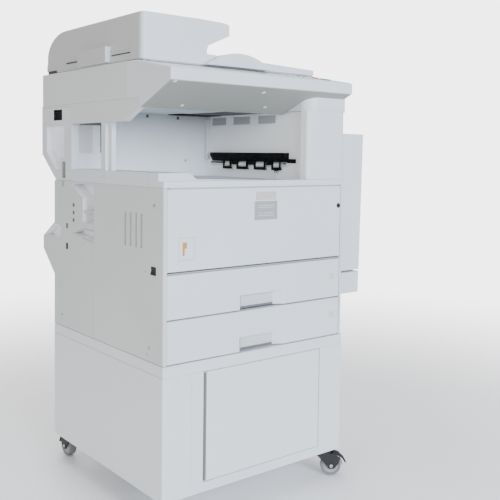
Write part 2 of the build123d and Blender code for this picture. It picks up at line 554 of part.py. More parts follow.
def paper_tray(z0, z1, wall_top):
    """Open paper box behind a front with a finger scoop along its lower edge."""
    with BuildPart() as tray:
        block(TRAY_X, (0, 22), (z0, z1))
        fillet(tray.edges().group_by(Axis.Y)[0], 2.5)
        for x in ((13, 205), (380, 550)):
            block(x, (3.5, 23), (z0 + 4, z1 - 4), Mode.SUBTRACT)
        prism_z(SCOOP, z0 - 1, z0 + SCOOP_H, Mode.SUBTRACT)
        block(BOX_X, (21, TRAY_DEPTH), (z0 + 0.6, wall_top))
        block((BOX_X[0] + WALL, BOX_X[1] - WALL), (21 + WALL, TRAY_DEPTH - WALL),
              (z0 + 0.6 + WALL, wall_top + 1), Mode.SUBTRACT)
        for x in ((FRAME_X[0] + WALL + 1, BOX_X[0] + 1), (BOX_X[1] - 1, TRAY_X[1])):
            block(x, (40, TRAY_DEPTH), (z0 + 0.6, z0 + 4))
    return tray


FENCE_X = (250.0, 310.0)
FENCE_Y = {"front": (92.0, 96.0, 74.0), "rear": (446.0, 450.0, 468.0)}


def tray_fence(z0, wall_top, y0, y1, foot_y):
    """Upright side fence with a foot that slides on the tray's floor."""
    floor = z0 + 0.6 + WALL + 0.4
    with BuildPart() as fence:
        block(FENCE_X, (y0, y1), (floor, wall_top - 8))
        fillet(fence.edges().filter_by(Axis.Y).group_by(Axis.Z)[-1], 12)
        block((FENCE_X[0] + 15, FENCE_X[1] - 15), (min(foot_y, y0), max(foot_y, y1)), (floor, floor + 5))
    return fence


for number, (low_z, high_z, box_top) in TRAYS.items():
    save(paper_tray(low_z, high_z, box_top), f"paper_tray_{number}")
    for place, (y_low, y_high, foot) in FENCE_Y.items():
        save(tray_fence(low_z, box_top, y_low, y_high, foot), f"tray_{number}_{place}_fence")
    height, radius = FEED_ROLLERS[number]
    save(roller_shaft(FEED_X, height, SHAFT_R, radius, (236, FRAME_Y[1]), [(265, 25)]),
         f"feed_roller_{number}")

# ---------------------------------------------------------------- print engine
ENGINE_X = (330.0, 552.0)
ENGINE_Y = (46.0, 440.0)
HOT = (484.0, 766.0)
HOT_R = 16.0
PRESSURE_R = 14.0
PRESSURE = (HOT[0] + HOT_R + PRESSURE_R + 0.4, HOT[1])
BIG_SHAFT_R = 4.0
ENGINE_TOP = RIM_Z - 0.2
CORE_Y = (62.0, 430.0)

with BuildPart() as engine_frame:
    for y in ENGINE_Y:
        block(ENGINE_X, (y, y + WALL), (DECK_Z + WALL + GAP, ENGINE_TOP))
    block(ENGINE_X, (ENGINE_Y[0], ENGINE_Y[1] + WALL), (DECK_Z + WALL + GAP, DECK_Z + 2 * WALL + GAP))
    for x, z in (DRUM, HOT, PRESSURE):
        rod_y(x, z, BIG_SHAFT_R + FIT, ENGINE_Y[0] - 1, ENGINE_Y[1] + WALL + 1, Mode.SUBTRACT)
    rod_y(*BOTTLE, BOTTLE_R + FIT, ENGINE_Y[0] - 1, ENGINE_Y[0] + WALL + 1, Mode.SUBTRACT)
    rod_y(*BOTTLE, BIG_SHAFT_R + FIT, ENGINE_Y[1] - 1, ENGINE_Y[1] + WALL + 1, Mode.SUBTRACT)
save(engine_frame, "engine_frame")

CORE = [((CORE_Y[1] + CORE_Y[0]) / 2, (CORE_Y[1] - CORE_Y[0]) / 2)]
SHAFT_ENDS = (ENGINE_Y[0], ENGINE_Y[1] + WALL)
save(roller_shaft(*DRUM, BIG_SHAFT_R, DRUM_R, SHAFT_ENDS, CORE), "drum")
save(roller_shaft(*HOT, BIG_SHAFT_R, HOT_R, SHAFT_ENDS, CORE), "fuser_hot_roller")
save(roller_shaft(*PRESSURE, BIG_SHAFT_R, PRESSURE_R, SHAFT_ENDS, CORE), "fuser_pressure_roller")

with BuildPart() as toner_bottle:
    rod_y(*BOTTLE, BOTTLE_R, 34, 420)
    fillet(toner_bottle.edges().group_by(Axis.Y)[-1], 8)
    rod_y(*BOTTLE, BIG_SHAFT_R, 419, ENGINE_Y[1] + WALL)
    block((BOTTLE[0] - 22, BOTTLE[0] + 22), (28, 35), (BOTTLE[1] - 5, BOTTLE[1] + 5))
save(toner_bottle, "toner_bottle")

# ---------------------------------------------------------------- right side
BYPASS_Y = (118.0, 452.0)
BYPASS_PIVOT = (648.0, 609.0)
BYPASS_T = 10.0
BYPASS_TOP = 804.0
RIGHT_X = BODY_W + RIGHT_UNIT_W
UNIT_X0 = BODY_W + 1.0


def side_unit(outline, z0, z1, hollow_x):
    """Cover on the right side that turns about the upright rear hinge."""
    with BuildPart() as unit:
        prism_y(outline, *DUPLEX_Y)
        fillet(upright_edges(unit, UNIT_X0, DUPLEX_Y[1]), SIDE_HINGE[0] - UNIT_X0)
        front_faces = unit.faces().sort_by(Axis.Y)[0]
        fillet([e for e in front_faces.edges() if e.center().X > mx(UNIT_X0 + 2)], 3)
        block((UNIT_X0 - 1, hollow_x), (DUPLEX_Y[0] + 5, DUPLEX_Y[1] - 24), (z0 + 5, z1 - 5), Mode.SUBTRACT)
        rod_z(*SIDE_HINGE, PIN_R + FIT, z0 - 1, z0 + PIN_L + 1, Mode.SUBTRACT)
        rod_z(*SIDE_HINGE, PIN_R + FIT, z1 - PIN_L - 1, z1 + 1, Mode.SUBTRACT)
    return unit


duplex_unit = side_unit([(UNIT_X0, DUPLEX_Z[0]), (652, DUPLEX_Z[0]), (RIGHT_X, DUPLEX_Z[1]),
                         (UNIT_X0, DUPLEX_Z[1])], *DUPLEX_Z, 634)
with BuildPart() as duplex_with_recess:
    add(duplex_unit.part)
    block((641, RIGHT_X + 1), (BYPASS_Y[0] - 3, BYPASS_Y[1] + 3), (602, 808), Mode.SUBTRACT)
    rod_y(*BYPASS_PIVOT, PIN_R + FIT, BYPASS_Y[0] - 12, BYPASS_Y[1] + 12, Mode.SUBTRACT)
save(duplex_with_recess, "duplex_unit")

lower_door = side_unit([(UNIT_X0, LOWER_DOOR_Z[0]), (650, LOWER_DOOR_Z[0]), (651.5, LOWER_DOOR_Z[1]),
                        (UNIT_X0, LOWER_DOOR_Z[1])], *LOWER_DOOR_Z, 646)
save(lower_door, "lower_right_cover")

with BuildPart() as bypass_tray:
    block((BYPASS_PIVOT[0] - BYPASS_T / 2, BYPASS_PIVOT[0] + BYPASS_T / 2), BYPASS_Y,
          (BYPASS_PIVOT[1], BYPASS_TOP))
    fillet(bypass_tray.edges().filter_by(Axis.X).group_by(Axis.Z)[-1], 10)
    rod_y(*BYPASS_PIVOT, BYPASS_T / 2, *BYPASS_Y)
    rod_y(*BYPASS_PIVOT, PIN_R, BYPASS_Y[0] - 10, BYPASS_Y[1] + 10)
save(bypass_tray, "bypass_tray")

# ---------------------------------------------------------------- scanner
PANEL_BACK = 168.0            # seam between the operation panel and the scanner's case
CASE_TOP_T = 6.0
RIDGE_Y = (524.0, 528.0)
RAILS_Z = (1050.0, 1010.0)    # tops of the ledges on which the two carriages run

with BuildPart() as scanner_frame:
    block((0, BODY_W), (110, REAR_WALL_Y - GAP), (CEILING_Z, SEAM_Z))
    block((0, BODY_W), (REAR_WALL_Y - 1, UPPER_D), (SEAM_Z - 6, SEAM_Z))
    prism_x([(110, CEILING_Z + 1), (110, 974), (176, 944), (REAR_WALL_Y - GAP, 944),
             (REAR_WALL_Y - GAP, CEILING_Z + 1)], 0, 14)
    block((0, 8), (272.5, 294.5), (RIM_TOP + GAP, 945))
    block((8, 20), (256, 294.5), (PLATEAU_Z + GAP, CEILING_Z + 1))
    block((20, BODY_W - 20), (120, REAR_WALL_Y - 12), (CEILING_Z + WALL, SEAM_Z + 1), Mode.SUBTRACT)
save(scanner_frame, "scanner_frame")

GLASS_X = (99.0, 537.0)
GLASS_Y = (199.0, 501.0)
with BuildPart() as scanner_case:
    block((0, BODY_W), (PANEL_BACK + GAP, UPPER_D), (SEAM_Z + GAP, GLASS_Z))
    fillet(upright_edges(scanner_case, 0, UPPER_D) + upright_edges(scanner_case, BODY_W, UPPER_D), 6)
    block((WALL, BODY_W - WALL), (PANEL_BACK + 3.5, UPPER_D - WALL), (SEAM_Z, GLASS_Z - CASE_TOP_T),
          Mode.SUBTRACT)
    block((GLASS_X[0] + 5, GLASS_X[1] - 5), (GLASS_Y[0] + 5, GLASS_Y[1] - 5), (GLASS_Z - 7, GLASS_Z + 1),
          Mode.SUBTRACT)
    block(GLASS_X, GLASS_Y, (GLASS_Z - 3.4, GLASS_Z + 1), Mode.SUBTRACT)
    block((44, 64), GLASS_Y, (GLASS_Z - 2, GLASS_Z + 1), Mode.SUBTRACT)
    block((WALL - 1, BODY_W - WALL + 1), RIDGE_Y, (SEAM_Z + 3, GLASS_Z - 5))
    for z in RAILS_Z:
        block((WALL - 1, BODY_W - WALL + 1), (PANEL_BACK + 3, 184), (z - 5, z))
        block((WALL - 1, BODY_W - WALL + 1), (512, RIDGE_Y[0] + 1), (z - 5, z))
save(scanner_case, "scanner_case")

with BuildPart() as platen_glass:
    block((GLASS_X[0] + 0.2, GLASS_X[1] - 0.2), (GLASS_Y[0] + 0.2, GLASS_Y[1] - 0.2),
          (GLASS_Z - 3.4, GLASS_Z - 0.2))
save(platen_glass, "platen_glass")

with BuildPart() as full_rate_carriage:
    block((70, 112), (178, 518), (RAILS_Z[0] + 0.4, RAILS_Z[0] + 4))
    block((70, 112), (192, 504), (RAILS_Z[0] + 0.4, 1074))
    prism_y([(76, 1075), (106, 1075), (96, 1062), (86, 1062)], 200, 496, Mode.SUBTRACT)
save(full_rate_carriage, "full_rate_carriage")

with BuildPart() as half_rate_carriage:
    block((120, 152), (178, 518), (RAILS_Z[1] + 0.4, RAILS_Z[1] + 4))
    block((120, 152), (192, 504), (RAILS_Z[1] + 0.4, 1043))
    prism_y([(119, 1040), (119, 1014), (132, 1027)], 200, 496, Mode.SUBTRACT)
save(half_rate_carriage, "half_rate_carriage")

# ---------------------------------------------------------------- operation panel
PANEL_X = (0.0, 570.0)
LIP_Y = -PANEL_PROUD
LIP_Z = (1029.0, 1058.0)
PANEL_TOP = [(LIP_Y, LIP_Z[1]), (122.0, GLASS_Z - GAP)]
PANEL_SIDE = [(LIP_Y, LIP_Z[1]), (LIP_Y, LIP_Z[0]), (103, 974.4), (110 - GAP, 974.4),
              (110 - GAP, SEAM_Z + GAP),
              (PANEL_BACK, SEAM_Z + GAP), (PANEL_BACK, GLASS_Z - GAP), (122, GLASS_Z - GAP)]
PANEL_INSIDE = [(LIP_Y + 3.5, LIP_Z[1] - 3.2), (LIP_Y + 3.5, LIP_Z[0] + 2.5), (103, 978.4), (106, 978.4),
                (106, SEAM_Z + 4), (PANEL_BACK - 4, SEAM_Z + 4), (PANEL_BACK - 4, GLASS_Z - 4),
                (122.5, GLASS_Z - 4)]
TILT = atan2(PANEL_TOP[1][1] - PANEL_TOP[0][1], PANEL_TOP[1][0] - PANEL_TOP[0][0])
KEY_UP = (0, -sin(TILT), cos(TILT))
DISPLAY = (255.0, 78.0, 132.0, 62.0)      # middle x, distance up the slope, width, height
START = (505.0, 42.0, 14.0)
STOP = (505.0, 82.0, 9.0)
PAD_X = 415.0                             # middle of the number keys
PAD_V = 66.0
PAD_PITCH = (19.0, 16.0)
NUMBER_KEY = (13.0, 9.5)


def on_panel(x, lift=0.0):
    """Plane on the panel's sloping top, with its origin at the lip and at x."""
    origin = (mx(x), my(LIP_Y) + KEY_UP[1] * lift, LIP_Z[1] + KEY_UP[2] * lift)
    return Plane(origin=origin, x_dir=(1, 0, 0), z_dir=KEY_UP)


with BuildPart() as panel_housing:
    prism_x(PANEL_SIDE, *PANEL_X)
    fillet(panel_housing.edges().filter_by(Axis.X).group_by(Axis.Y)[0], 5)
    fillet(panel_housing.edges().filter_by(Axis.Z).group_by(Axis.Y)[0].sort_by(Axis.X)[0], 4)
    fillet(panel_housing.edges().filter_by(Axis.Z).group_by(Axis.Y)[0].sort_by(Axis.X)[-1], 10)
    block((COLUMN_X + 2, BODY_W - 1), (3, 109), (CEILING_Z, 1025))
    fillet(upright_edges(panel_housing, COLUMN_X + 2, 3), 34)
    prism_x(PANEL_INSIDE, PANEL_X[0] + 4, PANEL_X[1] - 4, Mode.SUBTRACT)
    block((COLUMN_X, PANEL_X[1] + 1), (60, 112), (970, CEILING_Z), Mode.SUBTRACT)
    with BuildSketch(on_panel(DISPLAY[0])):
        with Locations((0, DISPLAY[1])):
            Rectangle(DISPLAY[2], DISPLAY[3])
    extrude(amount=-2.0, mode=Mode.SUBTRACT)
    for spot_x, spot_v, spot_r in (START, STOP):
        with BuildSketch(on_panel(spot_x)):
            with Locations((0, spot_v)):
                Circle(spot_r + 0.6)
        extrude(amount=-12, mode=Mode.SUBTRACT)
    with BuildSketch(on_panel(PAD_X)):
        with Locations((0, PAD_V)):
            with GridLocations(*PAD_PITCH, 3, 4):
                RectangleRounded(NUMBER_KEY[0] + 1.2, NUMBER_KEY[1] + 1.2, 2)
    extrude(amount=-12, mode=Mode.SUBTRACT)
save(panel_housing, "panel_housing")

with BuildPart() as display:
    with BuildSketch(on_panel(DISPLAY[0], -1.9)):
        with Locations((0, DISPLAY[1])):
            Rectangle(DISPLAY[2] - 0.6, DISPLAY[3] - 0.6)
    extrude(amount=1.6)
save(display, "display")


def round_key(x, v, r):
    with BuildPart() as key:
        with BuildSketch(on_panel(x, -3)):
            with Locations((0, v)):
                Circle(r)
        extrude(amount=6)
        fillet(key.faces().sort_by(Axis.Z)[-1].edges(), 1)
    return key


save(round_key(*START), "start_key")
save(round_key(*STOP), "stop_key")

with BuildPart() as number_keys:
    with BuildSketch(on_panel(PAD_X, -3)):
        with Locations((0, PAD_V)):
            with GridLocations(*PAD_PITCH, 3, 4):
                RectangleRounded(*NUMBER_KEY, 1.5)
    extrude(amount=5.5)
save(number_keys, "number_keys")

# ---------------------------------------------------------------- document feeder
LID_X = (4.0, 552.0)
LID_Y = (107.0, 626.0)
LID_Z = GLASS_Z + 2.0
THROAT_X = 190.0
DECK_TOP = 1113.0
LID_AXIS = (635.0, 1097.0)
HINGES_X = ((62.0, 112.0), (452.0, 502.0))
GRIP_X = 274.0
GRIP_R = 166.0
GRIP_PEAK = 1119.0
GRIP_PROUD = 25.0
CORNER_R = 15.0
NOTCH_Y = 556.0             # where the lid's lower left edge rises towards the hinges

with BuildPart() as feeder_base:
    prism_y([(LID_X[0], LID_Z), (LID_X[1], LID_Z), (LID_X[1], 1100), (THROAT_X, DECK_TOP),
             (LID_X[0], DECK_TOP)], *LID_Y)
    fillet(upright_edges(feeder_base, LID_X[0], LID_Y[0]), CORNER_R)
    fillet(upright_edges(feeder_base, LID_X[1], LID_Y[0]), 8)
    with BuildSketch(Plane(origin=(0, my(LID_Y[0] + 10), 0), x_dir=(1, 0, 0), z_dir=(0, -1, 0))):
        with Locations((mx(GRIP_X), GRIP_PEAK - GRIP_R)):
            Circle(GRIP_R)
        with Locations((mx(GRIP_X), GLASS_Z - 500)):
            Rectangle(800, 1000, mode=Mode.SUBTRACT)
    extrude(amount=GRIP_PROUD + 10)
    prism_y([(9, LID_Z + 4), (547, LID_Z + 4), (547, 1096), (THROAT_X, 1109), (9, 1109)], 128, 620,
            Mode.SUBTRACT)
    block((30, 180), (150, 600), (1105, DECK_TOP + 1), Mode.SUBTRACT)
    prism_x([(NOTCH_Y, LID_Z - 1), (NOTCH_Y + 10, LID_Z + 4), (LID_Y[1] + 1, LID_Z + 6),
             (LID_Y[1] + 1, LID_Z - 1)], LID_X[0] - 1, LID_X[0] + 4, Mode.SUBTRACT)
    for x0, x1 in HINGES_X:
        block((x0 + 6.6, x1 - 6.6), (LID_Y[1] - 4, LID_AXIS[0]), (LID_AXIS[1] - 5, LID_AXIS[1] + 6))
        rod_x(*LID_AXIS, 7, x0 + 6.6, x1 - 6.6)
        rod_x(*LID_AXIS, 4 + FIT, x0, x1, Mode.SUBTRACT)
save(feeder_base, "feeder_base")

with BuildPart() as feeder_hinges:
    for x0, x1 in HINGES_X:
        block((x0, x1), (LID_Y[1] + 3, 650), (GLASS_Z, GLASS_Z + 3.6))
        for ear_x in (x0, x1 - 6):
            block((ear_x, ear_x + 6), (LID_Y[1] + 3, 646), (GLASS_Z + 3, LID_AXIS[1] + 6))
        rod_x(*LID_AXIS, 4, x0, x1)
save(feeder_hinges, "feeder_hinges")

COVER_X1 = 118.0
COVER_Y = (155.5, 521.5)
COVER_BOTTOM = 1106.0
FEED_AXIS = (COVER_X1 - 9.0, LID_TOP - 9.0)
STUB_R = 2.5
BACK_ROUND = (112.0, 68.0)    # depth and height of the feeder's rounded back
BACK_FROM = (LID_Y[1] - BACK_ROUND[0], LID_TOP - BACK_ROUND[1])
TOP_R = 5.0


def feeder_outside():
    """Solid outer shape of the feeder: a box with a nose to the right and a rounded back."""
    round_y, round_z = BACK_FROM
    with BuildPart() as outside:
        prism_y([(LID_X[0], DECK_TOP), (THROAT_X, DECK_TOP), (188, 1121), (193, 1134), (226, 1149),
                 (257, 1163), (257, 1190), (236, 1195), (170, LID_TOP), (LID_X[0], LID_TOP)], *LID_Y)
        fillet(upright_edges(outside, LID_X[0], LID_Y[0]), CORNER_R)
        with BuildSketch(Plane.YZ.offset(mx(-1))) as corner:
            with BuildLine():
                EllipticalCenterArc((my(round_y), round_z), *BACK_ROUND, start_angle=0, arc_size=90)
                Polyline((my(round_y), LID_TOP), (my(round_y), LID_TOP + 1), (my(LID_Y[1] + 1), LID_TOP + 1),
                         (my(LID_Y[1] + 1), round_z), (my(LID_Y[1]), round_z))
            make_face()
        extrude(corner.sketch, amount=270, mode=Mode.SUBTRACT)
        left_rim = outside.faces().sort_by(Axis.X)[0].edges().sort_by(Axis.Z)[-1]
        fillet(left_rim, TOP_R)
    return outside.part


FEEDER = feeder_outside()

with BuildPart() as feeder_body:
    add(FEEDER)
    block((LID_X[0] - 1, COVER_X1 + 0.6), (COVER_Y[0] - 0.6, COVER_Y[1] + 0.6), (DECK_TOP, LID_TOP + 1),
          Mode.SUBTRACT)
    prism_y([(24, DECK_TOP + GAP), (122, DECK_TOP + GAP), (122, 1160), (66, 1160), (30, 1146), (24, 1132)],
            162, 515)
    block((130, 182), (130, BACK_FROM[0]), (1120, 1188), Mode.SUBTRACT)
    rod_y(*FEED_AXIS, STUB_R + FIT, COVER_Y[0] - 7, COVER_Y[1] + 7, Mode.SUBTRACT)
save(feeder_body, "feeder_body")

with BuildPart() as feed_cover:
    add(FEEDER)
    block((LID_X[0], COVER_X1), COVER_Y, (DECK_TOP + GAP, LID_TOP + 1), Mode.INTERSECT)
    fillet(feed_cover.edges().filter_by(Axis.Y).group_by(Axis.X)[-1].sort_by(Axis.Z)[-1], 8.8)
    block((LID_X[0] + WALL, COVER_X1 + 1), (COVER_Y[0] + WALL, COVER_Y[1] - WALL),
          (DECK_TOP - 1, LID_TOP - 3.5), Mode.SUBTRACT)
    prism_y([(COVER_X1 - 22, DECK_TOP - 1), (COVER_X1 + 1, DECK_TOP - 1), (COVER_X1 + 1, 1180)], *COVER_Y,
            Mode.SUBTRACT)
    block((-LATCH_PROUD, LID_X[0] - 0.6), (256, 409), (1090, 1128))
    block((-LATCH_PROUD, LID_X[0] + 1), (256, 409), (1118, 1128))
    fillet(upright_edges(feed_cover, -LATCH_PROUD, 256), 3)
    rod_y(*FEED_AXIS, STUB_R, COVER_Y[0] - 6, COVER_Y[0] + 5)
    rod_y(*FEED_AXIS, STUB_R, COVER_Y[1] - 5, COVER_Y[1] + 6)
save(feed_cover, "feed_cover")

print(f"panel tilt {degrees(TILT):.2f} deg, origin shift x {LEFT:.1f} y {FRONT:.1f}")
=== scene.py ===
"""Looks for the office copier: materials, fine detail, camera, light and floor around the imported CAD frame.

Sizes are metres. Every place is worked out from the CAD nodes' boxes. In the machine's own terms x runs right
from the body's left side, y runs back from the front of the body and z runs up from the floor.
"""

import json
import math

import bmesh
import bpy
from mathutils import Matrix, Vector


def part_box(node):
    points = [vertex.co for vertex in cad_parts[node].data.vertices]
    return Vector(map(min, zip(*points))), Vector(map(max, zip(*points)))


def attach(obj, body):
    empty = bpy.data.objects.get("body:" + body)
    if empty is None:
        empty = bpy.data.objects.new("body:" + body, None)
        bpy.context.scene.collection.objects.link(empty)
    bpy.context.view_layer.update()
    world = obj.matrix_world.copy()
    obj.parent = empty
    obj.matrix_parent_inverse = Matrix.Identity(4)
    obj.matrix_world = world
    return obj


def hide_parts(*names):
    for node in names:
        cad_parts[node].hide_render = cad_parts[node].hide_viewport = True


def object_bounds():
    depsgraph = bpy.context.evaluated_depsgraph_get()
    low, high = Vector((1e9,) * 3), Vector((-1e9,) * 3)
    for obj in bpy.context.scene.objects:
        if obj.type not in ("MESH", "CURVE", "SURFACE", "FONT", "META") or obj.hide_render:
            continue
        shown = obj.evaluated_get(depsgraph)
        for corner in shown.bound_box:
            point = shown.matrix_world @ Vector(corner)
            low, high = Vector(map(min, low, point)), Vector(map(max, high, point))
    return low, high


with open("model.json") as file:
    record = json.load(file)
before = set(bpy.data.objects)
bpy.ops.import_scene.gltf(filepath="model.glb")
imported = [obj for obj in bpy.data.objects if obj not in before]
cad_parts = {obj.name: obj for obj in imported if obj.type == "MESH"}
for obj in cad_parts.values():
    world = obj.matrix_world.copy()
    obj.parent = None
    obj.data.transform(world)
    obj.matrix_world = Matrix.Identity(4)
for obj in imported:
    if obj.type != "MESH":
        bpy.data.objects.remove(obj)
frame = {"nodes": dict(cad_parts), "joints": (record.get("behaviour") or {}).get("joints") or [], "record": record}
CAD_LOW, CAD_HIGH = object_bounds()
NODES = frame["nodes"]
SLOT_OF = {part["node"]: part["material_slot"] for part in frame["record"]["subparts"]}
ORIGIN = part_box("cabinet_shell")[0].copy()      # left, front corner of the body
ORIGIN.z = 0.0


def at(x, y, z):
    """Millimetres from the body's left side, its front and the floor, as a place in the frame."""
    return Vector((ORIGIN.x + x / 1000, ORIGIN.y + y / 1000, z / 1000))


# ---------------------------------------------------------------- materials
def new_material(name):
    material = bpy.data.materials.new(name)
    material.use_nodes = True
    tree = material.node_tree
    shader = tree.nodes["Principled BSDF"]
    return material, tree, shader


def noise(tree, scale, detail, coordinates):
    node = tree.nodes.new("ShaderNodeTexNoise")
    node.inputs["Scale"].default_value = scale
    node.inputs["Detail"].default_value = detail
    tree.links.new(coordinates, node.inputs["Vector"])
    return node


def tone(tree, factor, dark, light, low, high):
    ramp = tree.nodes.new("ShaderNodeValToRGB")
    ramp.color_ramp.elements[0].position = low
    ramp.color_ramp.elements[0].color = (*dark, 1)
    ramp.color_ramp.elements[1].position = high
    ramp.color_ramp.elements[1].color = (*light, 1)
    tree.links.new(factor, ramp.inputs["Fac"])
    return ramp


def bump(tree, shader, height, strength, distance):
    node = tree.nodes.new("ShaderNodeBump")
    node.inputs["Strength"].default_value = strength
    node.inputs["Distance"].default_value = distance
    tree.links.new(height, node.inputs["Height"])
    tree.links.new(node.outputs["Normal"], shader.inputs["Normal"])


def scaled(colour, factor):
    return tuple(min(1.0, channel * factor) for channel in colour)


def surface(
    name, colour, roughness, vary=0.03, grain=900.0, relief=0.10, patches=3.0, metallic=0.0, wear=0.0
):
    """Moulded or painted surface: slow tone changes, a fine grain and, if asked for, lighter worn edges."""
    material, tree, shader = new_material(name)
    place = tree.nodes.new("ShaderNodeTexCoord").outputs["Object"]
    slow = noise(tree, patches, 4, place)
    paint = tone(tree, slow.outputs["Fac"], scaled(colour, 1 - vary), scaled(colour, 1 + vary), 0.35, 0.65)
    base = paint.outputs["Color"]
    if wear:
        geometry = tree.nodes.new("ShaderNodeNewGeometry")
        edge = tone(tree, geometry.outputs["Pointiness"], (0, 0, 0), (1, 1, 1), 0.52, 0.60)
        mix = tree.nodes.new("ShaderNodeMix")
        mix.data_type = "RGBA"
        tree.links.new(edge.outputs["Color"], mix.inputs["Factor"])
        tree.links.new(base, mix.inputs["A"])
        mix.inputs["B"].default_value = (*scaled(colour, 1 + wear), 1)
        base = mix.outputs["Result"]
    tree.links.new(base, shader.inputs["Base Color"])
    smudge = noise(tree, patches * 6, 3, place)
    gloss = tree.nodes.new("ShaderNodeMapRange")
    gloss.inputs["To Min"].default_value = roughness - 0.06
    gloss.inputs["To Max"].default_value = roughness + 0.06
    tree.links.new(smudge.outputs["Fac"], gloss.inputs["Value"])
    tree.links.new(gloss.outputs["Result"], shader.inputs["Roughness"])
    shader.inputs["Metallic"].default_value = metallic
    fine = noise(tree, grain, 2, place)
    bump(tree, shader, fine.outputs["Fac"], relief, 0.0004)
    return material


def paint_facing_light_and_shade(material, other, facing, low, high):
    """Paints light or shade into the faces that look along one direction: mixes their colour towards another tone.
    """
    tree = material.node_tree
    shader = tree.nodes["Principled BSDF"]
    paint = shader.inputs["Base Color"].links[0].from_socket
    along = tree.nodes.new("ShaderNodeVectorMath")
    along.operation = "DOT_PRODUCT"
    along.inputs[1].default_value = facing
    tree.links.new(tree.nodes.new("ShaderNodeNewGeometry").outputs["True Normal"], along.inputs[0])
    share = tree.nodes.new("ShaderNodeMapRange")
    share.inputs["From Min"].default_value = low
    share.inputs["From Max"].default_value = high
    tree.links.new(along.outputs["Value"], share.inputs["Value"])
    mix = tree.nodes.new("ShaderNodeMix")
    mix.data_type = "RGBA"
    tree.links.new(share.outputs["Result"], mix.inputs["Factor"])
    tree.links.new(paint, mix.inputs["A"])
    mix.inputs["B"].default_value = (*other, 1)
    tree.links.new(mix.outputs["Result"], shader.inputs["Base Color"])
    return material


def brushed(name, colour, roughness, along):
    """Metal with fine lines along one direction."""
    material, tree, shader = new_material(name)
    place = tree.nodes.new("ShaderNodeTexCoord").outputs["Object"]
    stretch = tree.nodes.new("ShaderNodeMapping")
    stretch.inputs["Scale"].default_value = along
    tree.links.new(place, stretch.inputs["Vector"])
    lines = noise(tree, 60, 5, stretch.outputs["Vector"])
    paint = tone(tree, lines.outputs["Fac"], scaled(colour, 0.88), scaled(colour, 1.06), 0.3, 0.7)
    tree.links.new(paint.outputs["Color"], shader.inputs["Base Color"])
    shader.inputs["Metallic"].default_value = 0.9
    shader.inputs["Roughness"].default_value = roughness
    bump(tree, shader, lines.outputs["Fac"], 0.08, 0.0003)
    return material


def clear_glass(name):
    material, tree, shader = new_material(name)
    place = tree.nodes.new("ShaderNodeTexCoord").outputs["Object"]
    smear = noise(tree, 18, 3, place)
    paint = tone(tree, smear.outputs["Fac"], (0.10, 0.13, 0.13), (0.14, 0.17, 0.17), 0.3, 0.7)
    tree.links.new(paint.outputs["Color"], shader.inputs["Base Color"])
    shader.inputs["Roughness"].default_value = 0.05
    shader.inputs["Alpha"].default_value = 0.6
    return material


WHITE = (0.695, 0.722, 0.755)
MATERIALS = {
    "white_plastic": surface("white_plastic", WHITE, 0.48, relief=0.12),
    "grey_plastic": surface("grey_plastic", (0.62, 0.63, 0.62), 0.50, relief=0.14),
    "black_plastic": surface("black_plastic", (0.008, 0.008, 0.009), 0.55, vary=0.15, relief=0.12),
    "light_key": surface("light_key", (0.62, 0.64, 0.66), 0.35, relief=0.03),
    "green_key": surface("green_key", (0.05, 0.36, 0.16), 0.32, relief=0.03),
    "red_key": surface("red_key", (0.52, 0.08, 0.06), 0.32, relief=0.03),
    "cabinet_paint": surface("cabinet_paint", (0.70, 0.722, 0.745), 0.40, grain=500, relief=0.10, wear=0.05),
    "steel": brushed("steel", (0.55, 0.56, 0.57), 0.34, (1, 12, 1)),
    "aluminium": brushed("aluminium", (0.72, 0.73, 0.74), 0.28, (14, 1, 14)),
    "glass": clear_glass("glass"),
    "screen": surface("screen", (0.30, 0.34, 0.34), 0.15, vary=0.08, relief=0.0),
    "rubber": surface("rubber", (0.03, 0.03, 0.032), 0.75, vary=0.2, grain=700, relief=0.25),
    "roller_white": surface("roller_white", (0.78, 0.78, 0.76), 0.45, relief=0.05),
    "tread": surface("tread", (0.16, 0.16, 0.165), 0.62, vary=0.15, grain=600, relief=0.2, wear=0.3),
    "drum_coat": surface("drum_coat", (0.03, 0.18, 0.20), 0.12, vary=0.1, relief=0.0),
    "toner_plastic": surface("toner_plastic", (0.05, 0.05, 0.055), 0.45, vary=0.1, relief=0.1),
}

for node_name, node_object in NODES.items():
    node_object.data.materials.clear()
    node_object.data.materials.append(MATERIALS[SLOT_OF[node_name]])

LEFT_FACING = (-1, 0, 0)
DOWNWARD = (0, 0, -1)


def white_painted_by_facing(name, other, facing, low, high):
    """White plastic with painted light or shade: another tone on the faces that look along one direction."""
    return paint_facing_light_and_shade(surface(name, WHITE, 0.48, relief=0.12), other, facing, low, high)


# Painted shade: the operation panel's downward faces in a darker grey.
PANEL_PLASTIC = white_painted_by_facing("panel_plastic", (0.31, 0.32, 0.295), DOWNWARD, 0.3, 0.8)
# Painted light: the exit wall's left-facing faces in a lighter white.
EXIT_PLASTIC = white_painted_by_facing("exit_plastic", (0.93, 0.94, 0.94), LEFT_FACING, 0.6, 0.95)
# Painted shade: the scanner's and the feeder's left-facing faces in a darker grey.
SCANNER_PLASTIC = white_painted_by_facing("scanner_plastic", (0.68, 0.69, 0.67), LEFT_FACING, 0.6, 0.95)
FEEDER_PLASTIC = white_painted_by_facing("feeder_plastic", (0.52, 0.53, 0.505), LEFT_FACING, 0.55, 0.95)
GUIDE_BLACK = surface("guide_black", (0.003, 0.003, 0.003), 0.7, vary=0.2, relief=0.1)
GUIDE_BLACK.node_tree.nodes["Principled BSDF"].inputs["Specular IOR Level"].default_value = 0.12
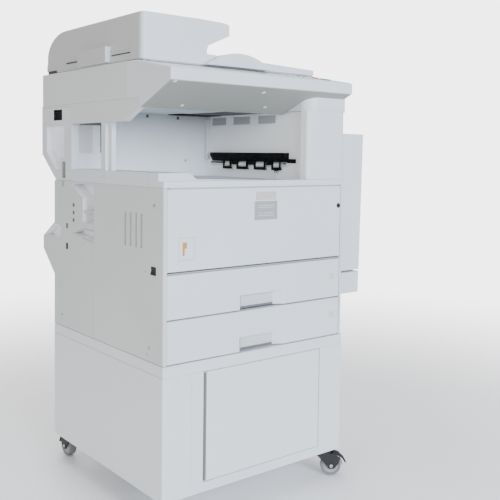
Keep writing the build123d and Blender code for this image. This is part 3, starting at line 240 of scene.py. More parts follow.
# Pieces that take these painted light and shade materials, and the exit guide its plain black.
FACING_PAINTED_AND_BLACK = {
    "panel_housing": PANEL_PLASTIC, "exit_tower": EXIT_PLASTIC, "scanner_case": SCANNER_PLASTIC,
    "scanner_frame": SCANNER_PLASTIC, "feeder_base": FEEDER_PLASTIC, "feeder_body": FEEDER_PLASTIC,
    "feed_cover": FEEDER_PLASTIC, "exit_guide": GUIDE_BLACK,
}
for node_name, painted_or_black in FACING_PAINTED_AND_BLACK.items():
    NODES[node_name].data.materials[0] = painted_or_black

# ---------------------------------------------------------------- softened edges on the CAD pieces
EDGE_RADIUS = {
    "cabinet_shell": 0.0010, "cabinet_top": 0.0012, "cabinet_door": 0.0012, "left_cover": 0.0012,
    "left_rear_cover": 0.0012, "rear_cover": 0.0015, "right_cover": 0.0015, "front_inner_cover": 0.0008,
    "front_cover": 0.0008, "exit_tray": 0.0014, "exit_tower": 0.0012, "exit_guide": 0.0006,
    "rear_housing": 0.0020, "scanner_frame": 0.0014, "scanner_case": 0.0016, "panel_housing": 0.0020,
    "paper_tray_1": 0.0008, "paper_tray_2": 0.0008, "duplex_unit": 0.0018, "lower_right_cover": 0.0018,
    "bypass_tray": 0.0012, "feeder_base": 0.0004, "feeder_body": 0.0004, "feed_cover": 0.0006,
    "feeder_hinges": 0.0010, "main_switch": 0.0005, "power_inlet": 0.0004,
}


def soften(obj, radius, segments=3):
    """Joins flat faces and rounds the sharp edges, so that they catch the light as moulded edges do."""
    flat = obj.modifiers.new("flat", "DECIMATE")
    flat.decimate_type = "DISSOLVE"
    flat.angle_limit = math.radians(0.6)
    edge = obj.modifiers.new("edge", "BEVEL")
    edge.width = radius
    edge.segments = segments
    edge.limit_method = "ANGLE"
    edge.angle_limit = math.radians(38)
    edge.harden_normals = True
    smooth_faces(obj.data)


def smooth_faces(mesh):
    for polygon in mesh.polygons:
        polygon.use_smooth = True


for node_name, edge_radius in EDGE_RADIUS.items():
    soften(NODES[node_name], edge_radius)

# ---------------------------------------------------------------- detail pieces
BLACK = MATERIALS["black_plastic"]


def piece(name, mesh_builder, slot_name, body, material=None, bevel=0.0, segments=3):
    """Makes a mesh object from a bmesh, gives it a finish and lets it ride on a body."""
    mesh = bpy.data.meshes.new(name)
    mesh_builder.normal_update()
    mesh_builder.to_mesh(mesh)
    mesh_builder.free()
    obj = bpy.data.objects.new(name, mesh)
    bpy.context.scene.collection.objects.link(obj)
    mesh.materials.append(material or MATERIALS[slot_name])
    if bevel:
        edge = obj.modifiers.new("edge", "BEVEL")
        edge.width = bevel
        edge.segments = segments
        edge.limit_method = "ANGLE"
        edge.angle_limit = math.radians(35)
        edge.harden_normals = True
        smooth_faces(mesh)
    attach(obj, body)
    return obj


def add_block(builder, x, y, z):
    """Adds a block between (low, high) pairs in machine millimetres."""
    low_corner, high_corner = at(x[0], y[0], z[0]), at(x[1], y[1], z[1])
    centre = (low_corner + high_corner) / 2
    extent = high_corner - low_corner
    move = Matrix.Translation(centre) @ Matrix.Diagonal((*extent, 1))
    bmesh.ops.create_cube(builder, size=1.0, matrix=move)


def blocks(name, boxes, slot_name, body, bevel=0.0008, material=None):
    builder = bmesh.new()
    for x, y, z in boxes:
        add_block(builder, x, y, z)
    return piece(name, builder, slot_name, body, material, bevel)


def add_disc(builder, centre, axis, radius, depth, sides=32):
    """Adds a short cylinder around axis, centred on a place in the frame."""
    turn_to = Vector(axis).to_track_quat("Z", "Y").to_matrix().to_4x4()
    bmesh.ops.create_cone(builder, cap_ends=True, segments=sides, radius1=radius, radius2=radius, depth=depth,
                          matrix=Matrix.Translation(centre) @ turn_to)


def lathe(name, centre, axis, outline, slot_name, body, steps=48, material=None):
    """Turns an outline of (distance along axis, radius) pairs, in metres, around the axis."""
    builder = bmesh.new()
    turn_to = Vector(axis).to_track_quat("Z", "Y").to_matrix().to_4x4()
    place = Matrix.Translation(centre) @ turn_to
    rings = []
    for step in range(steps):
        angle = 2 * math.pi * step / steps
        ring = [
            builder.verts.new(place @ Vector((r * math.cos(angle), r * math.sin(angle), d)))
            for d, r in outline
        ]
        rings.append(ring)
    for step in range(steps):
        here, there = rings[step], rings[(step + 1) % steps]
        for k in range(len(outline) - 1):
            builder.faces.new((here[k], there[k], there[k + 1], here[k + 1]))
    obj = piece(name, builder, slot_name, body, material)
    smooth_faces(obj.data)
    return obj


# front cover: blank name plate, counter window and lock
badge_grey = surface("badge_grey", (0.33, 0.34, 0.35), 0.35, vary=0.08, grain=300, relief=0.06)
badge_pale = surface("badge_pale", (0.56, 0.50, 0.47), 0.40, vary=0.06, relief=0.04)
mark_amber = surface("mark_amber", (0.50, 0.22, 0.07), 0.40, vary=0.10, relief=0.03)
frame_pale = surface("frame_pale", (0.62, 0.60, 0.57), 0.45, vary=0.04, relief=0.05)

blocks(
    "badge_plate", [((259, 331), (-1.0, 0.6), (708, 754))], "grey_plastic", "front_cover", 0.0006,
    badge_grey,
)
blocks(
    "badge_strip", [((263, 327), (-0.9, 0.6), (757, 777))], "grey_plastic", "front_cover", 0.0006,
    badge_pale,
)
blocks(
    "badge_lines",
    [((270, 320), (-1.25, -0.7), (z, z + 1.6)) for z in (718, 724, 738, 743)],
    "grey_plastic",
    "front_cover",
    0.0002,
    frame_pale,
)
WINDOW_X = (38.0, 84.0)
WINDOW_Z = (624.0, 678.0)
RIM = 3.0
blocks(
    "window_frame",
    [
        (WINDOW_X, (-0.9, 0.6), (WINDOW_Z[0], WINDOW_Z[0] + RIM)),
        (WINDOW_X, (-0.9, 0.6), (WINDOW_Z[1] - RIM, WINDOW_Z[1])),
        ((WINDOW_X[0], WINDOW_X[0] + RIM), (-0.9, 0.6), (WINDOW_Z[0] + RIM, WINDOW_Z[1] - RIM)),
        ((WINDOW_X[1] - RIM, WINDOW_X[1]), (-0.9, 0.6), (WINDOW_Z[0] + RIM, WINDOW_Z[1] - RIM)),
    ],
    "grey_plastic",
    "front_cover",
    0.0005,
    frame_pale,
)
blocks(
    "window_mark",
    [((50, 56), (-0.5, 0.6), (636, 666)), ((56, 62), (-0.5, 0.6), (652, 666))],
    "grey_plastic",
    "front_cover",
    0.0003,
    mark_amber,
)
lock = bmesh.new()
add_disc(lock, at(545.5, -0.4, 735), (0, 1, 0), 0.0062, 0.0016)
piece("cover_lock", lock, "black_plastic", "front_cover", BLACK, 0.0004)

# paper trays: painted shade in each finger scoop (a dark strip for the shadowed slot at its foot, a darker grey
# back wall, dark lines along its top and left edge), size labels left blank, lift plates
slot_dark = surface("slot_dark", (0.05, 0.05, 0.052), 0.7, vary=0.1, relief=0.1)
scoop_dark = surface("scoop_dark", (0.16, 0.16, 0.16), 0.7, vary=0.1, relief=0.1)
scoop_wall_shade = surface("scoop_wall_shade", (0.60, 0.61, 0.62), 0.5)
shade_grey = surface("shade_grey", (0.40, 0.41, 0.41), 0.6)
for number in (1, 2):
    tray_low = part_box(f"paper_tray_{number}")[0].z * 1000
    body = f"paper_tray_{number}"
    # painted shade inside the finger scoop
    blocks(
        f"scoop_shadow_slot_{number}",
        [((219, 333), (14.6, 17.4), (tray_low + 0.6, tray_low + 5.5))],
        "black_plastic",
        body,
        0.0005,
        scoop_dark,
    )
    blocks(
        f"scoop_back_shade_{number}",
        [((218.6, 333.4), (16.2, 17.4), (tray_low + 5.5, tray_low + 31.5))],
        "grey_plastic",
        body,
        0.0004,
        scoop_wall_shade,
    )
    blocks(
        f"scoop_shade_{number}",
        [
            ((218.6, 333.4), (16.0, 17.4), (tray_low + 31.5, tray_low + 35.6)),
            ((218.4, 221.4), (1.0, 16.2), (tray_low + 8, tray_low + 35.6)),
        ],
        "grey_plastic",
        body,
        0.0004,
        shade_grey,
    )
    blocks(
        f"size_label_{number}",
        [((518, 536), (-0.5, 0.5), (tray_low + 48, tray_low + 64))],
        "grey_plastic",
        body,
        0.0004,
        frame_pale,
    )
    blocks(
        f"lift_plate_{number}",
        [
            ((40, 246), (110, 430), (tray_low + 5.2, tray_low + 6.6)),
            ((60, 66), (120, 420), (tray_low + 6, tray_low + 8)),
            ((150, 156), (120, 420), (tray_low + 6, tray_low + 8)),
            ((230, 236), (120, 420), (tray_low + 6, tray_low + 8)),
        ],
        "steel",
        body,
        0.0006,
    )

# A grey rail in the gap between the front cover and the upper paper tray: painted shadow in the gap.
blocks("gap_shadow_rail", [((12, 550), (6, 20), (593.6, 596.3))], "grey_plastic", "chassis", 0.0004, shade_grey)
soft_shade_grey = surface("soft_shade_grey", (0.55, 0.56, 0.57), 0.5)
COVER_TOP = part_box("front_cover")[1].z * 1000
# A pale grey strip in the gap above the front cover: painted soft shade in the gap.
blocks(
    "rim_gap_shade",
    [((14, 549), (2.2, 8), (COVER_TOP + 0.3, COVER_TOP + 2.0))],
    "grey_plastic",
    "chassis",
    0.0003,
    soft_shade_grey,
)

# left side: dark marks over the small slots, a catch, grey louvres and lips in the vents
VENTS_Y = (96, 121, 146, 171)
SMALL_SLOTS = ((450, 722, 732), (450, 702, 711), (450, 682, 691), (490, 661, 675))      # y, low z and high z
side_dark = surface("side_dark", (0.12, 0.12, 0.115), 0.6)
vent_shade = surface("vent_shade", (0.46, 0.47, 0.46), 0.5)
blocks(
    "side_marks",
    [((-0.25, 0.6), (y - 5.5, y + 5.5), (z0, z1)) for y, z0, z1 in SMALL_SLOTS],
    "black_plastic",
    "chassis",
    0.0002,
    side_dark,
)
blocks(
    "side_catch", [((-0.25, 0.6), (483.5, 496.5), (604, 621))], "black_plastic", "chassis", 0.0002,
    slot_dark,
)
blocks(
    "vent_louvres",
    [((1.4, 2.8), (y - 2.9, y + 2.9), (z, z + 3.6)) for y in VENTS_Y for z in range(649, 725, 6)],
    "grey_plastic",
    "chassis",
    0.0002,
    shade_grey,
)
blocks(
    "vent_lips",
    [((-0.2, 0.5), (y + 3.1, y + 6.2), (647, 727)) for y in VENTS_Y],
    "grey_plastic",
    "chassis",
    0.0002,
    vent_shade,
)


def inset(outline, distance):
    """Moves every side of an outline inwards by distance."""
    following = outline[1:] + outline[:1]
    turning = sum(a[0] * b[1] - b[0] * a[1] for a, b in zip(outline, following))
    inward = 1 if turning > 0 else -1
    moved = []
    for before, here, after in zip(outline[-1:] + outline[:-1], outline, following):
        first = (Vector(here) - Vector(before)).normalized()
        second = (Vector(after) - Vector(here)).normalized()
        first_normal = Vector((-first.y, first.x)) * inward
        second_normal = Vector((-second.y, second.x)) * inward
        middle = (first_normal + second_normal).normalized()
        moved.append(Vector(here) + middle * distance / middle.dot(first_normal))
    return moved


def lining(name, outline, depth, material):
    """Lining of a recess in the left side, paler than the body so that it paints light into the recess: thin walls
    along its (y, z) outline, and a floor.
    """
    builder = bmesh.new()
    outer, inner = inset(outline, 0.3), inset(outline, 0.8)
    loops = [[builder.verts.new(at(x, *spot)) for spot in loop]
             for x, loop in ((1.6, outer), (1.6, inner), (depth - 0.8, inner), (depth - 0.3, outer))]
    front_outer, front_inner, floor_inner, floor_outer = loops
    for here, there in ((front_outer, front_inner), (front_inner, floor_inner), (floor_outer, front_outer)):
        for k in range(len(outline)):
            follow = (k + 1) % len(outline)
            builder.faces.new((here[k], here[follow], there[follow], there[k]))
    builder.faces.new(floor_inner)
    builder.faces.new(floor_outer)
    bmesh.ops.recalc_face_normals(builder, faces=builder.faces)
    piece(name, builder, "white_plastic", "chassis", material)


UPPER_POCKET = [(335, 785), (462, 785), (462, 780), (398, 749), (398, 684), (335, 684)]
LOWER_POCKET = [(335, 664), (428, 664), (461, 650), (398, 646), (335, 640)]
CHEEK_POCKET = [(532, 630), (634, 630), (573, 667), (532, 667)]
REAR_POCKET = [(508, 940), (622, 940), (622, 868), (562, 820), (532, 820), (532, 852), (508, 852)]
# The pocket linings are paler than the body: painted light in the shadowed recesses.
painted_light_lining = surface("painted_light_lining", (0.93, 0.95, 0.99), 0.42)
lining("pocket_lining_upper", UPPER_POCKET, 36, painted_light_lining)
lining("pocket_lining_lower", LOWER_POCKET, 30, painted_light_lining)
lining("cheek_lining", CHEEK_POCKET, 24, painted_light_lining)
lining("window_lining", REAR_POCKET, 25, painted_light_lining)
blocks(
    "catch_shade",
    [((0.5, 19), (523.2, 523.9), (797.5, 841.5)), ((-0.2, 0.5), (507, 522), (774, 789))],
    "grey_plastic",
    "chassis",
    0.0002,
    shade_grey,
)
blocks(
    "pocket_shade",
    [
        ((-0.2, 0.5), (335.5, 398), (665, 669.5)),
        ((-0.2, 0.5), (335.5, 357), (636.2, 640.2)),
        ((-0.2, 0.5), (356, 378), (638.3, 642.3)),
        ((-0.2, 0.5), (377, 398), (640.4, 644.4)),
    ],
    "grey_plastic",
    "chassis",
    0.0002,
    vent_shade,
)
blocks("housing_seal", [((0.6, 566), (467, 562), (790.3, 792.7))], "white_plastic", "chassis", 0.0003)

# feeder: long slots on its left side, shade strips at its hinge and round its grip, and a dark strip along the
# lid's lower left edge that paints the shadow in the gap under the lid
blocks(
    "feeder_slots",
    [((3.6, 5), (158, 250), (1103.2, 1106.6)), ((3.6, 5), (436, 503), (1104.8, 1108.8))],
    "black_plastic",
    "document_feeder",
    0.0003,
    slot_dark,
)
blocks(
    "hinge_shade", [((3.65, 4.4), (562, 618), (1086, 1094))], "rubber", "document_feeder", 0.0002,
    slot_dark,
)
blocks(
    "latch_shade",
    [((3.6, 4.3), (262, 412), (1128.4, 1133.5)), ((3.6, 4.3), (262, 430), (1086, 1088.8))],
    "grey_plastic",
    "document_feeder",
    0.0003,
    vent_shade,
)
# A dark strip in the gap under the lid's left edge: painted shadow.
blocks(
    "lid_shadow_strip", [((5.2, 7.4), (128, 600), (1085.4, 1087.4))], "rubber", "document_feeder", 0.0003,
    slot_dark,
)

# exit space: insets and guide fillers on the exit wall; painted shade on the back wall at the side window (a
# darker panel and dark strips) and on the ceiling (a black band and a dark plate)
TOWER_X = 446.0
CEILING = 982.0
BACK_WALL = 463.0
blocks(
    "exit_insets",
    [
        ((TOWER_X + 1.2, TOWER_X + 2.6), (y0 + 0.6, y1 - 0.6), (953.6, 975.4))
        for y0, y1 in ((145, 220), (256, 334), (368, 438))
    ],
    "grey_plastic",
    "chassis",
    0.0003,
    shade_grey,
)
# A black band on the ceiling along the back wall: painted shadow.
blocks(
    "ceiling_shadow_band",
    [((304, TOWER_X - 1), (392, BACK_WALL - 1), (CEILING - 2.4, CEILING - 0.3))],
    "rubber",
    "chassis",
    0.0003,
    GUIDE_BLACK,
)
blocks(
    "wall_screws",
    [
        ((x - 4.2, x + 4.2), (BACK_WALL - 1.9, BACK_WALL - 1.3), (z - 4.2, z + 4.2))
        for x, z in ((234, 974), (338, 972))
    ],
    "black_plastic",
    "chassis",
    0.0018,
    side_dark,
)
blocks(
    "exit_fillers",
    [((TOWER_X - 8.5, TOWER_X - 2.5), span, (839, 850)) for span in ((154, 174), (228, 256), (307, 332))],
    "black_plastic",
    "chassis",
    0.0022,
    GUIDE_BLACK,
)
blocks(
    "cup_bars",
    [
        ((TOWER_X - 10.6, TOWER_X - 7), (y - half - 3.5, y + half + 3.5), (825.8, 833.5))
        for y, half in ((132, 13), (202, 19), (281, 19), (352, 13))
    ],
    "black_plastic",
    "chassis",
    0.0008,
    GUIDE_BLACK,
)
# A dark plate on the ceiling above the exit space: painted shade.
blocks(
    "ceiling_shade_plate",
    [((330, TOWER_X - 1), (196, 392), (CEILING - 1.2, CEILING - 0.3))],
    "rubber",
    "chassis",
    0.0003,
    surface("ceiling_shade_dark", (0.07, 0.07, 0.075), 0.6, vary=0.15),
)
# A darker grey panel on the back wall behind the side window: painted shade.
blocks(
    "back_wall_shade_panel",
    [((20.7, 62), (BACK_WALL - 0.9, BACK_WALL - 0.1), (866, 941))],
    "white_plastic",
    "chassis",
    0.0003,
    soft_shade_grey,
)
blocks(
    "side_window_ledge",
    [((20, 87), (BACK_WALL - 2.4, BACK_WALL - 0.1), (824, 864))],
    "white_plastic",
    "chassis",
    0.0008,
)
blocks(
    "side_window_shade",
    [
        ((24, 88), (BACK_WALL - 1.4, BACK_WALL - 0.1), (942, 951)),
        ((85, 88), (BACK_WALL - 1.4, BACK_WALL - 0.1), (868, 942)),
    ],
    "grey_plastic",
    "chassis",
    0.0003,
    side_dark,
)
blocks(
    "corner_post",
    [((436, TOWER_X - 0.3), (450, BACK_WALL - 0.3), (852, CEILING - 10))],
    "white_plastic",
    "chassis",
    0.0015,
)

# rear housing: louvre behind its square opening
LOUVRE_BACK = [((18, 20), (521.5, 578.5), (955.5, 984.5)), ((2, 18), (577.4, 578.5), (955.5, 984.5))]
blocks(
    "housing_louvre",
    [((6, 19.5), (523, 577), (z, z + 2.2)) for z in range(957, 984, 5)] + LOUVRE_BACK,
    "black_plastic",
    "chassis",
    0.0004,
    BLACK,
)

# underside of the operation panel: screw caps
PANEL_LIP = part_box("panel_housing")[0].y * 1000 - ORIGIN.y * 1000      # y of the panel's lip
UNDERSIDE_BACK = 103.0                   # y of the underside's rear edge
UNDER_AT_LIP, UNDER_AT_BACK = 1029.0, 974.4
UNDER_SLOPE = (UNDER_AT_LIP - UNDER_AT_BACK) / (UNDERSIDE_BACK - PANEL_LIP)
UNDER_NORMAL = Vector((0, -UNDER_SLOPE, -1)).normalized()
CAP_OUTLINE = [(0.0014, 0.0), (0.0012, 0.003), (0.0006, 0.0048), (-0.0004, 0.0055)]
CAP_PLACES = ((15, -18), (283, 0), (103, 86), (345, 70))
for index, (cap_x, cap_y) in enumerate(CAP_PLACES):
    cap_z = UNDER_AT_LIP - (cap_y - PANEL_LIP) * UNDER_SLOPE
    lathe(
        f"panel_cap_{index + 1}", at(cap_x, cap_y, cap_z), UNDER_NORMAL, CAP_OUTLINE, "white_plastic",
        "chassis", 24,
    )

# ---------------------------------------------------------------- operation panel
PANEL_TOP_BACK = (122.0, 1084.6)        # y and z where the sloping top meets the scanner's level
LIP_TOP = 1058.0
TILT = math.atan2(PANEL_TOP_BACK[1] - LIP_TOP, PANEL_TOP_BACK[0] - PANEL_LIP)
SLOPE_TURN = Matrix.Rotation(TILT, 4, "X")


def on_slope(x, v, lift):
    """Place on the panel's sloping top: x along it, v up the slope from the lip, lift above it, all in mm."""
    y = PANEL_LIP + v * math.cos(TILT) - lift * math.sin(TILT)
    z = LIP_TOP + v * math.sin(TILT) + lift * math.cos(TILT)
    return at(x, y, z)


def slope_blocks(name, boxes, slot_name, body, material, bevel=0.0003):
    """Flat blocks on the slope, from (middle x, middle v, width, height, lift of top, thickness) in mm."""
    builder = bmesh.new()
    for x, v, width, height, lift, thick in boxes:
        move = Matrix.Translation(on_slope(x, v, lift - thick / 2)) @ SLOPE_TURN
        size = Matrix.Diagonal((width / 1000, height / 1000, thick / 1000, 1))
        bmesh.ops.create_cube(builder, size=1.0, matrix=move @ size)
    return piece(name, builder, slot_name, body, material, bevel, 2)


def glow(name, colour, strength):
    material = surface(name, colour, 0.25, vary=0.05, relief=0.0)
    shader = material.node_tree.nodes["Principled BSDF"]
    shader.inputs["Emission Color"].default_value = (*colour, 1)
    shader.inputs["Emission Strength"].default_value = strength
    return material


ink = surface("key_ink", (0.06, 0.06, 0.07), 0.5, vary=0.1, relief=0.0)
screen_pale = glow("screen_pale", (0.50, 0.60, 0.62), 0.2)
screen_blue = glow("screen_blue", (0.16, 0.26, 0.38), 0.2)
print_grey = surface("print_grey", (0.40, 0.42, 0.44), 0.5, vary=0.05, relief=0.0)

SCREEN = (255.0, 78.0)                   # middle of the display, along and up the slope
slope_blocks(
    "screen_bezel",
    [
        (SCREEN[0], SCREEN[1] + 33.5, 142, 5, 0.9, 1.4),
        (SCREEN[0], SCREEN[1] - 33.5, 142, 5, 0.9, 1.4),
        (SCREEN[0] - 68.5, SCREEN[1], 5, 62, 0.9, 1.4),
        (SCREEN[0] + 68.5, SCREEN[1], 5, 62, 0.9, 1.4),
    ],
    "grey_plastic",
    "chassis",
    shade_grey,
    0.0006,
)
slope_blocks(
    "screen_header", [(SCREEN[0], SCREEN[1] + 25, 122, 6, -0.1, 0.3)], "screen", "chassis", screen_blue, 0
)
slope_blocks(
    "screen_buttons",
    [
        (SCREEN[0] - 45 + 30 * column, SCREEN[1] + 12 - 15 * row, 24, 10, -0.1, 0.3)
        for column in range(4)
        for row in range(3)
    ],
    "screen",
    "chassis",
    screen_pale,
    0,
)
slope_blocks(
    "panel_print",
    [
        (415, 108, 58, 1.0, 0.25, 0.5), (415, 24, 58, 1.0, 0.25, 0.5), (505, 104, 34, 1.0, 0.25, 0.5),
        (90, 108, 96, 1.0, 0.25, 0.5), (90, 48, 96, 1.0, 0.25, 0.5),
    ],
    "grey_plastic",
    "chassis",
    print_grey,
    0.0001,
)
slope_blocks(
    "function_pads",
    [(50 + 27 * column, 92 - 28 * row, 19, 10, 0.7, 1.2) for column in range(4) for row in range(2)],
    "light_key",
    "chassis",
    MATERIALS["light_key"],
    0.0008,
)
slope_blocks(
    "function_lamps",
    [(50 + 27 * column, 101 - 28 * row, 5, 2, 0.4, 0.8) for column in range(4) for row in range(2)],
    "green_key",
    "chassis",
    MATERIALS["green_key"],
    0.0003,
)


def legend(name, text, x, v, lift, height, body):
    """A character printed on a key."""
    curve = bpy.data.curves.new(name, "FONT")
    curve.body = text
    curve.size = height / 1000
    curve.align_x = "CENTER"
    curve.align_y = "CENTER"
    curve.extrude = 0.00006
    writing = bpy.data.objects.new(name + "_curve", curve)
    bpy.context.scene.collection.objects.link(writing)
    bpy.context.view_layer.update()
    mesh = bpy.data.meshes.new_from_object(writing.evaluated_get(bpy.context.evaluated_depsgraph_get()))
    bpy.data.objects.remove(writing)
    obj = bpy.data.objects.new(name, mesh)
    obj.matrix_world = Matrix.Translation(on_slope(x, v, lift)) @ SLOPE_TURN
    bpy.context.scene.collection.objects.link(obj)
    mesh.materials.clear()
    mesh.materials.append(ink)
    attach(obj, body)


KEY_TEXT = ("123", "456", "789", "C0#")
for row, line in enumerate(KEY_TEXT):
    for column, character in enumerate(line):
        legend(f"legend_{row}_{column}", character, 415 + (column - 1) * 19, 66 + (1.5 - row) * 16, 2.53, 7.5,
               "number_keys")
slope_blocks(
    "start_mark",
    [(505, 42, 9, 2.2, 3.15, 0.3), (505, 42, 2.2, 9, 3.15, 0.3)],
    "light_key",
    "start_key",
    MATERIALS["light_key"],
    0.0001,
)
slope_blocks(
    "stop_mark", [(505, 82, 6, 6, 3.15, 0.3)], "light_key", "stop_key", MATERIALS["light_key"], 0.0001
)

# ---------------------------------------------------------------- cabinet door
# painted shade round the door: a dark curved strip round the hinge edge paints the shadow in the gap there, and
# pale grey strips in the seams round the door paint their soft shade; stiffeners inside it
door_low, door_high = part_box("cabinet_door")
DOOR_AXIS = (122.0, 8.0)
ARC_START, ARC_END, ARC_STEPS = math.radians(176), math.radians(262), 10
ROW = ARC_STEPS + 1
# A dark curved strip round the door's hinge edge: painted shadow in the gap there.
edge_shadow_mesh = bmesh.new()
for level in (door_low.z + 0.001, door_high.z - 0.001):
    for radius in (8.0, 8.35):
        for step in range(ARC_STEPS + 1):
            angle = ARC_START + (ARC_END - ARC_START) * step / ARC_STEPS
            spot = at(DOOR_AXIS[0] + radius * math.cos(angle), DOOR_AXIS[1] + radius * math.sin(angle), 0)
            edge_shadow_mesh.verts.new((spot.x, spot.y, level))
edge_shadow_mesh.verts.ensure_lookup_table()
for step in range(ARC_STEPS):
    for first, second in ((0, 2 * ROW), (ROW, 3 * ROW), (0, ROW), (2 * ROW, 3 * ROW)):
        edge_shadow_mesh.faces.new([edge_shadow_mesh.verts[first + step], edge_shadow_mesh.verts[first + step + 1],
                        edge_shadow_mesh.verts[second + step + 1], edge_shadow_mesh.verts[second + step]])
for end in (0, ARC_STEPS):
    edge_shadow_mesh.faces.new(
        [edge_shadow_mesh.verts[end], edge_shadow_mesh.verts[ROW + end], edge_shadow_mesh.verts[3 * ROW + end], edge_shadow_mesh.verts[2 * ROW + end]]
    )
bmesh.ops.recalc_face_normals(edge_shadow_mesh, faces=edge_shadow_mesh.faces)
piece(
    "door_edge_shadow",
    edge_shadow_mesh,
    "rubber",
    "cabinet_door",
    surface("door_edge_shade_paint", (0.16, 0.16, 0.155), 0.6, relief=0.1),
)
door_right, door_top = (door_high.x - ORIGIN.x) * 1000, door_high.z * 1000
door_bottom = door_low.z * 1000
# Pale grey strips in the gaps round the door: painted soft shade.
blocks(
    "door_gap_shade",
    [
        ((door_right + 0.4, door_right + 2.2), (2, 6), (door_bottom, door_top)),
        ((126, door_right + 2.2), (2, 6), (door_top + 0.4, door_top + 2.2)),
        ((126, door_right + 2.2), (2, 6), (door_bottom - 2.2, door_bottom - 0.4)),
    ],
    "cabinet_paint",
    "chassis",
    0.0003,
    soft_shade_grey,
)
blocks(
    "door_stiffeners",
    [((150, 470), (3.2, 6), (z, z + 14)) for z in (140, 220, 300)],
    "cabinet_paint",
    "cabinet_door",
    0.001,
)

# ---------------------------------------------------------------- casters: tyres and hubs for wheels
HALF_HUB = [(-0.0100, 0.0043), (-0.0106, 0.0090), (-0.0096, 0.0100), (-0.0080, 0.0110), (-0.0078, 0.0185),
            (-0.0094, 0.0200), (-0.0085, 0.0206)]
HALF_TYRE = [(-0.0085, 0.0205), (-0.0107, 0.0215), (-0.0110, 0.0245), (-0.0098, 0.0268)]


def mirrored(half, middle):
    """A whole (distance, radius) outline from its first half and its middle point."""
    return half + [middle] + [(-distance, radius) for distance, radius in reversed(half)]


for corner in ("fl", "fr", "rl", "rr"):
    node = f"caster_wheel_{corner}"
    joint = next(j for j in frame["joints"] if j["name"] == node)
    axle = Vector(joint["axis"])
    centre = Vector(joint["pos_m"])
    tyre_radius = (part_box(node)[1].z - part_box(node)[0].z) / 2
    tyre = mirrored(HALF_TYRE + [(-0.0070, tyre_radius - 0.0002)], (0.0, tyre_radius))
    wheel = lathe(f"tyre_{corner}", centre, axle, tyre, "tread", node, 64)
    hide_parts(node)
    hub_grey = surface(f"hub_grey_{corner}", (0.30, 0.30, 0.31), 0.45, vary=0.08)
    hub = mirrored(HALF_HUB, (0.0, 0.0200))
    lathe(f"hub_{corner}", centre, axle, hub, "grey_plastic", node, 64, hub_grey)
    bolts = bmesh.new()
    for side in (-1, 1):
        add_disc(bolts, centre + axle * side * 0.0158, axle, 0.0048, 0.0022, 6)
    piece(f"axle_nuts_{corner}", bolts, "steel", f"caster_swivel_{corner}", None, 0.0005)

# ---------------------------------------------------------------- document feeder
blocks("lid_cushion", [((66, 540), (180, 520), (1085.5, 1087.5))], "white_plastic", "document_feeder", 0.0004)
blocks(
    "lid_gasket",
    [((24, 546), (108.4, 112), (1083.3, 1087.4)), ((12, 26), (113, 128), (1083.3, 1087.4))],
    "grey_plastic",
    "document_feeder",
    0.0004,
    shade_grey,
)
DECK_X = (190.0, 552.0)                  # left and right ends of the deck that documents lie on
DECK_Z = (1113.0, 1100.0)                # its heights there
RIB_X = (200.0, 540.0)
RIB_LENGTH = (RIB_X[1] - RIB_X[0]) / 1000
deck_rise = (DECK_Z[0] - DECK_Z[1]) / (DECK_X[1] - DECK_X[0])
ribs = bmesh.new()
for rib_y in range(170, 600, 40):
    low_spot = at(RIB_X[1], rib_y, DECK_Z[1] + (DECK_X[1] - RIB_X[1]) * deck_rise)
    high_spot = at(RIB_X[0], rib_y, DECK_Z[0] - (RIB_X[0] - DECK_X[0]) * deck_rise)
    middle = (low_spot + high_spot) / 2 + Vector((0, 0, 0.0004))
    lean = Matrix.Rotation(math.atan2(low_spot.z - high_spot.z, RIB_LENGTH), 4, "Y")
    rib_size = Matrix.Diagonal((RIB_LENGTH, 0.003, 0.0018, 1))
    bmesh.ops.create_cube(ribs, size=1.0, matrix=Matrix.Translation(middle) @ lean.inverted() @ rib_size)
piece("document_ribs", ribs, "white_plastic", "document_feeder", None, 0.0006)
blocks("document_stop", [((150, 158), (180, 500), (1121, 1150))], "grey_plastic", "document_feeder", 0.001)
PICKUP_OUTLINE = [
    (-0.018, 0.0), (-0.018, 0.011), (-0.016, 0.012), (0.016, 0.012), (0.018, 0.011), (0.018, 0.0)
]
for roller_y in (300, 400):
    lathe(
        f"pickup_roller_{roller_y}", at(176, roller_y, 1133), (0, 1, 0), PICKUP_OUTLINE, "rubber",
        "document_feeder", 40,
    )

# ---------------------------------------------------------------- scanner, inner engine and side units
blocks("glass_scale", [((92, 98), (199, 501), (1085.0, 1085.5))], "black_plastic", "chassis", 0.0002, BLACK)
blocks(
    "scale_marks",
    [
        ((92.5, 95 if step % 5 else 97.5), (199 + step * 10, 199.8 + step * 10), (1085.45, 1085.65))
        for step in range(31)
    ],
    "roller_white",
    "chassis",
    0,
    MATERIALS["roller_white"],
)
lamp_glow = glow("lamp_glow", (0.75, 0.82, 0.84), 0.6)
LAMP_OUTLINE = [(-0.145, 0.0), (-0.145, 0.0018), (0.145, 0.0018), (0.145, 0.0)]
lathe("scan_lamp", at(80, 348, 1075.4), (0, 1, 0), LAMP_OUTLINE, "glass", "full_rate_carriage", 20, lamp_glow)
lever_green = surface("lever_green", (0.06, 0.30, 0.16), 0.4, vary=0.1)
blocks(
    "fuser_lever",
    [((440, 462), (28, 36), (750, 770)), ((446, 456), (24, 30), (735, 768))],
    "green_key",
    "chassis",
    0.0015,
    lever_green,
)
blocks(
    "unit_handle",
    [
        ((130, 230), (30.5, 36), (668, 676)),
        ((130, 138), (30.5, 38), (660, 684)),
        ((222, 230), (30.5, 38), (660, 684)),
    ],
    "grey_plastic",
    "chassis",
    0.0012,
)
blocks(
    "duplex_rib",
    [((634, 636), (60, 500), (z, z + 3)) for z in range(580, 600, 9)],
    "grey_plastic",
    "duplex_unit",
    0.0006,
)
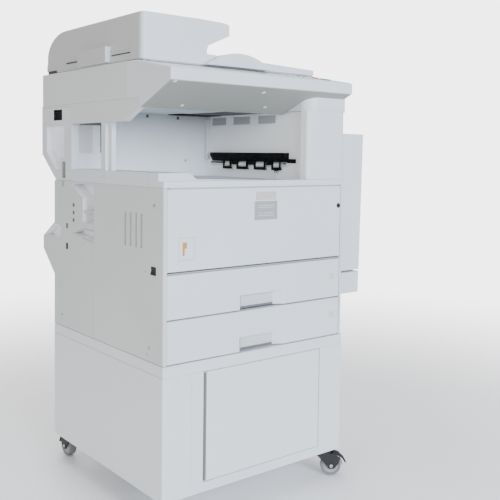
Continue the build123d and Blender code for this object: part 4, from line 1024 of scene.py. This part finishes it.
blocks("bypass_grip", [((652.8, 654.6), (250, 320), (780, 790))], "grey_plastic", "bypass_tray", 0.0007)

# ---------------------------------------------------------------- camera, light and floor
YAW = math.radians(38.72)
PITCH = math.radians(3.0)
ROLL = math.radians(0.72)

CAMERA_PLACE = (-913.1, -1443.3, 866.9)
camera_data = bpy.data.cameras.new("camera")
camera_data.lens = 55.2
camera_data.sensor_width = 36.0
camera_data.shift_y = -0.110
camera_data.clip_end = 30
camera = bpy.data.objects.new("camera", camera_data)
bpy.context.scene.collection.objects.link(camera)
look = Matrix.Rotation(-YAW, 4, "Z") @ Matrix.Rotation(math.pi / 2 - PITCH, 4, "X")
turn = look @ Matrix.Rotation(ROLL, 4, "Z")
camera.matrix_world = Matrix.Translation(at(*CAMERA_PLACE)) @ turn
bpy.context.scene.camera = camera


def lamp(name, place, aim, size, power, colour):
    light = bpy.data.lights.new(name, "AREA")
    light.shape = "RECTANGLE"
    light.size = size[0]
    light.size_y = size[1]
    light.energy = power
    light.color = colour
    holder = bpy.data.objects.new(name, light)
    holder.location = place
    holder.rotation_euler = (Vector(aim) - Vector(place)).to_track_quat("-Z", "Y").to_euler()
    bpy.context.scene.collection.objects.link(holder)


lamp("key_light", (-0.3, -4.4, 1.75), (0, 0, 0.75), (2.4, 1.6), 268, (0.86, 0.95, 1.07))
lamp("left_fill", (-4.2, -1.6, 1.05), (0, 0, 0.75), (2.4, 1.8), 70, (1.0, 0.975, 0.925))
lamp("top_light", (0.2, 0.6, 4.0), (0, 0, 0.8), (3.0, 3.0), 90, (1.0, 1.0, 1.0))
lamp("back_light", (1.2, 4.2, 2.2), (0, 0, 0.7), (3.0, 2.4), 90, (1.0, 1.0, 1.0))

world = bpy.data.worlds.new("studio")
world.use_nodes = True
sky = world.node_tree
background = sky.nodes["Background"]
background.inputs["Color"].default_value = (0.95, 0.97, 1.0, 1)
background.inputs["Strength"].default_value = 0.55
backdrop = sky.nodes.new("ShaderNodeBackground")
backdrop.inputs["Color"].default_value = (1.0, 1.0, 1.0, 1)
backdrop.inputs["Strength"].default_value = 4.5
path = sky.nodes.new("ShaderNodeLightPath")
choice = sky.nodes.new("ShaderNodeMixShader")
sky.links.new(path.outputs["Is Camera Ray"], choice.inputs["Fac"])
sky.links.new(background.outputs["Background"], choice.inputs[1])
sky.links.new(backdrop.outputs["Background"], choice.inputs[2])
sky.links.new(choice.outputs["Shader"], sky.nodes["World Output"].inputs["Surface"])
bpy.context.scene.world = world

# the floor fades out into the backdrop with distance from the machine
FLOOR_HALF = 12.0
FADE_START, FADE_END = 0.7, 3.2
floor_mesh = bpy.data.meshes.new("floor")
floor_mesh.from_pydata(
    [
        (-FLOOR_HALF, -FLOOR_HALF, 0),
        (FLOOR_HALF, -FLOOR_HALF, 0),
        (FLOOR_HALF, FLOOR_HALF, 0),
        (-FLOOR_HALF, FLOOR_HALF, 0),
    ],
    [],
    [(0, 1, 2, 3)],
)
floor = bpy.data.objects.new("floor", floor_mesh)
floor.location.z = CAD_LOW.z - 0.0005
bpy.context.scene.collection.objects.link(floor)
floor_paint = surface("floor_paint", (0.95, 0.95, 0.955), 0.6, vary=0.01, relief=0.02)
floor_tree = floor_paint.node_tree
reach = floor_tree.nodes.new("ShaderNodeVectorMath")
reach.operation = "LENGTH"
floor_tree.links.new(floor_tree.nodes.new("ShaderNodeTexCoord").outputs["Object"], reach.inputs[0])
fade = floor_tree.nodes.new("ShaderNodeMapRange")
fade.interpolation_type = "SMOOTHSTEP"
fade.inputs["From Min"].default_value = FADE_START
fade.inputs["From Max"].default_value = FADE_END
fade.inputs["To Min"].default_value = 1.0
fade.inputs["To Max"].default_value = 0.0
floor_tree.links.new(reach.outputs["Value"], fade.inputs["Value"])
floor_tree.links.new(fade.outputs["Result"], floor_tree.nodes["Principled BSDF"].inputs["Alpha"])
floor_mesh.materials.append(floor_paint)
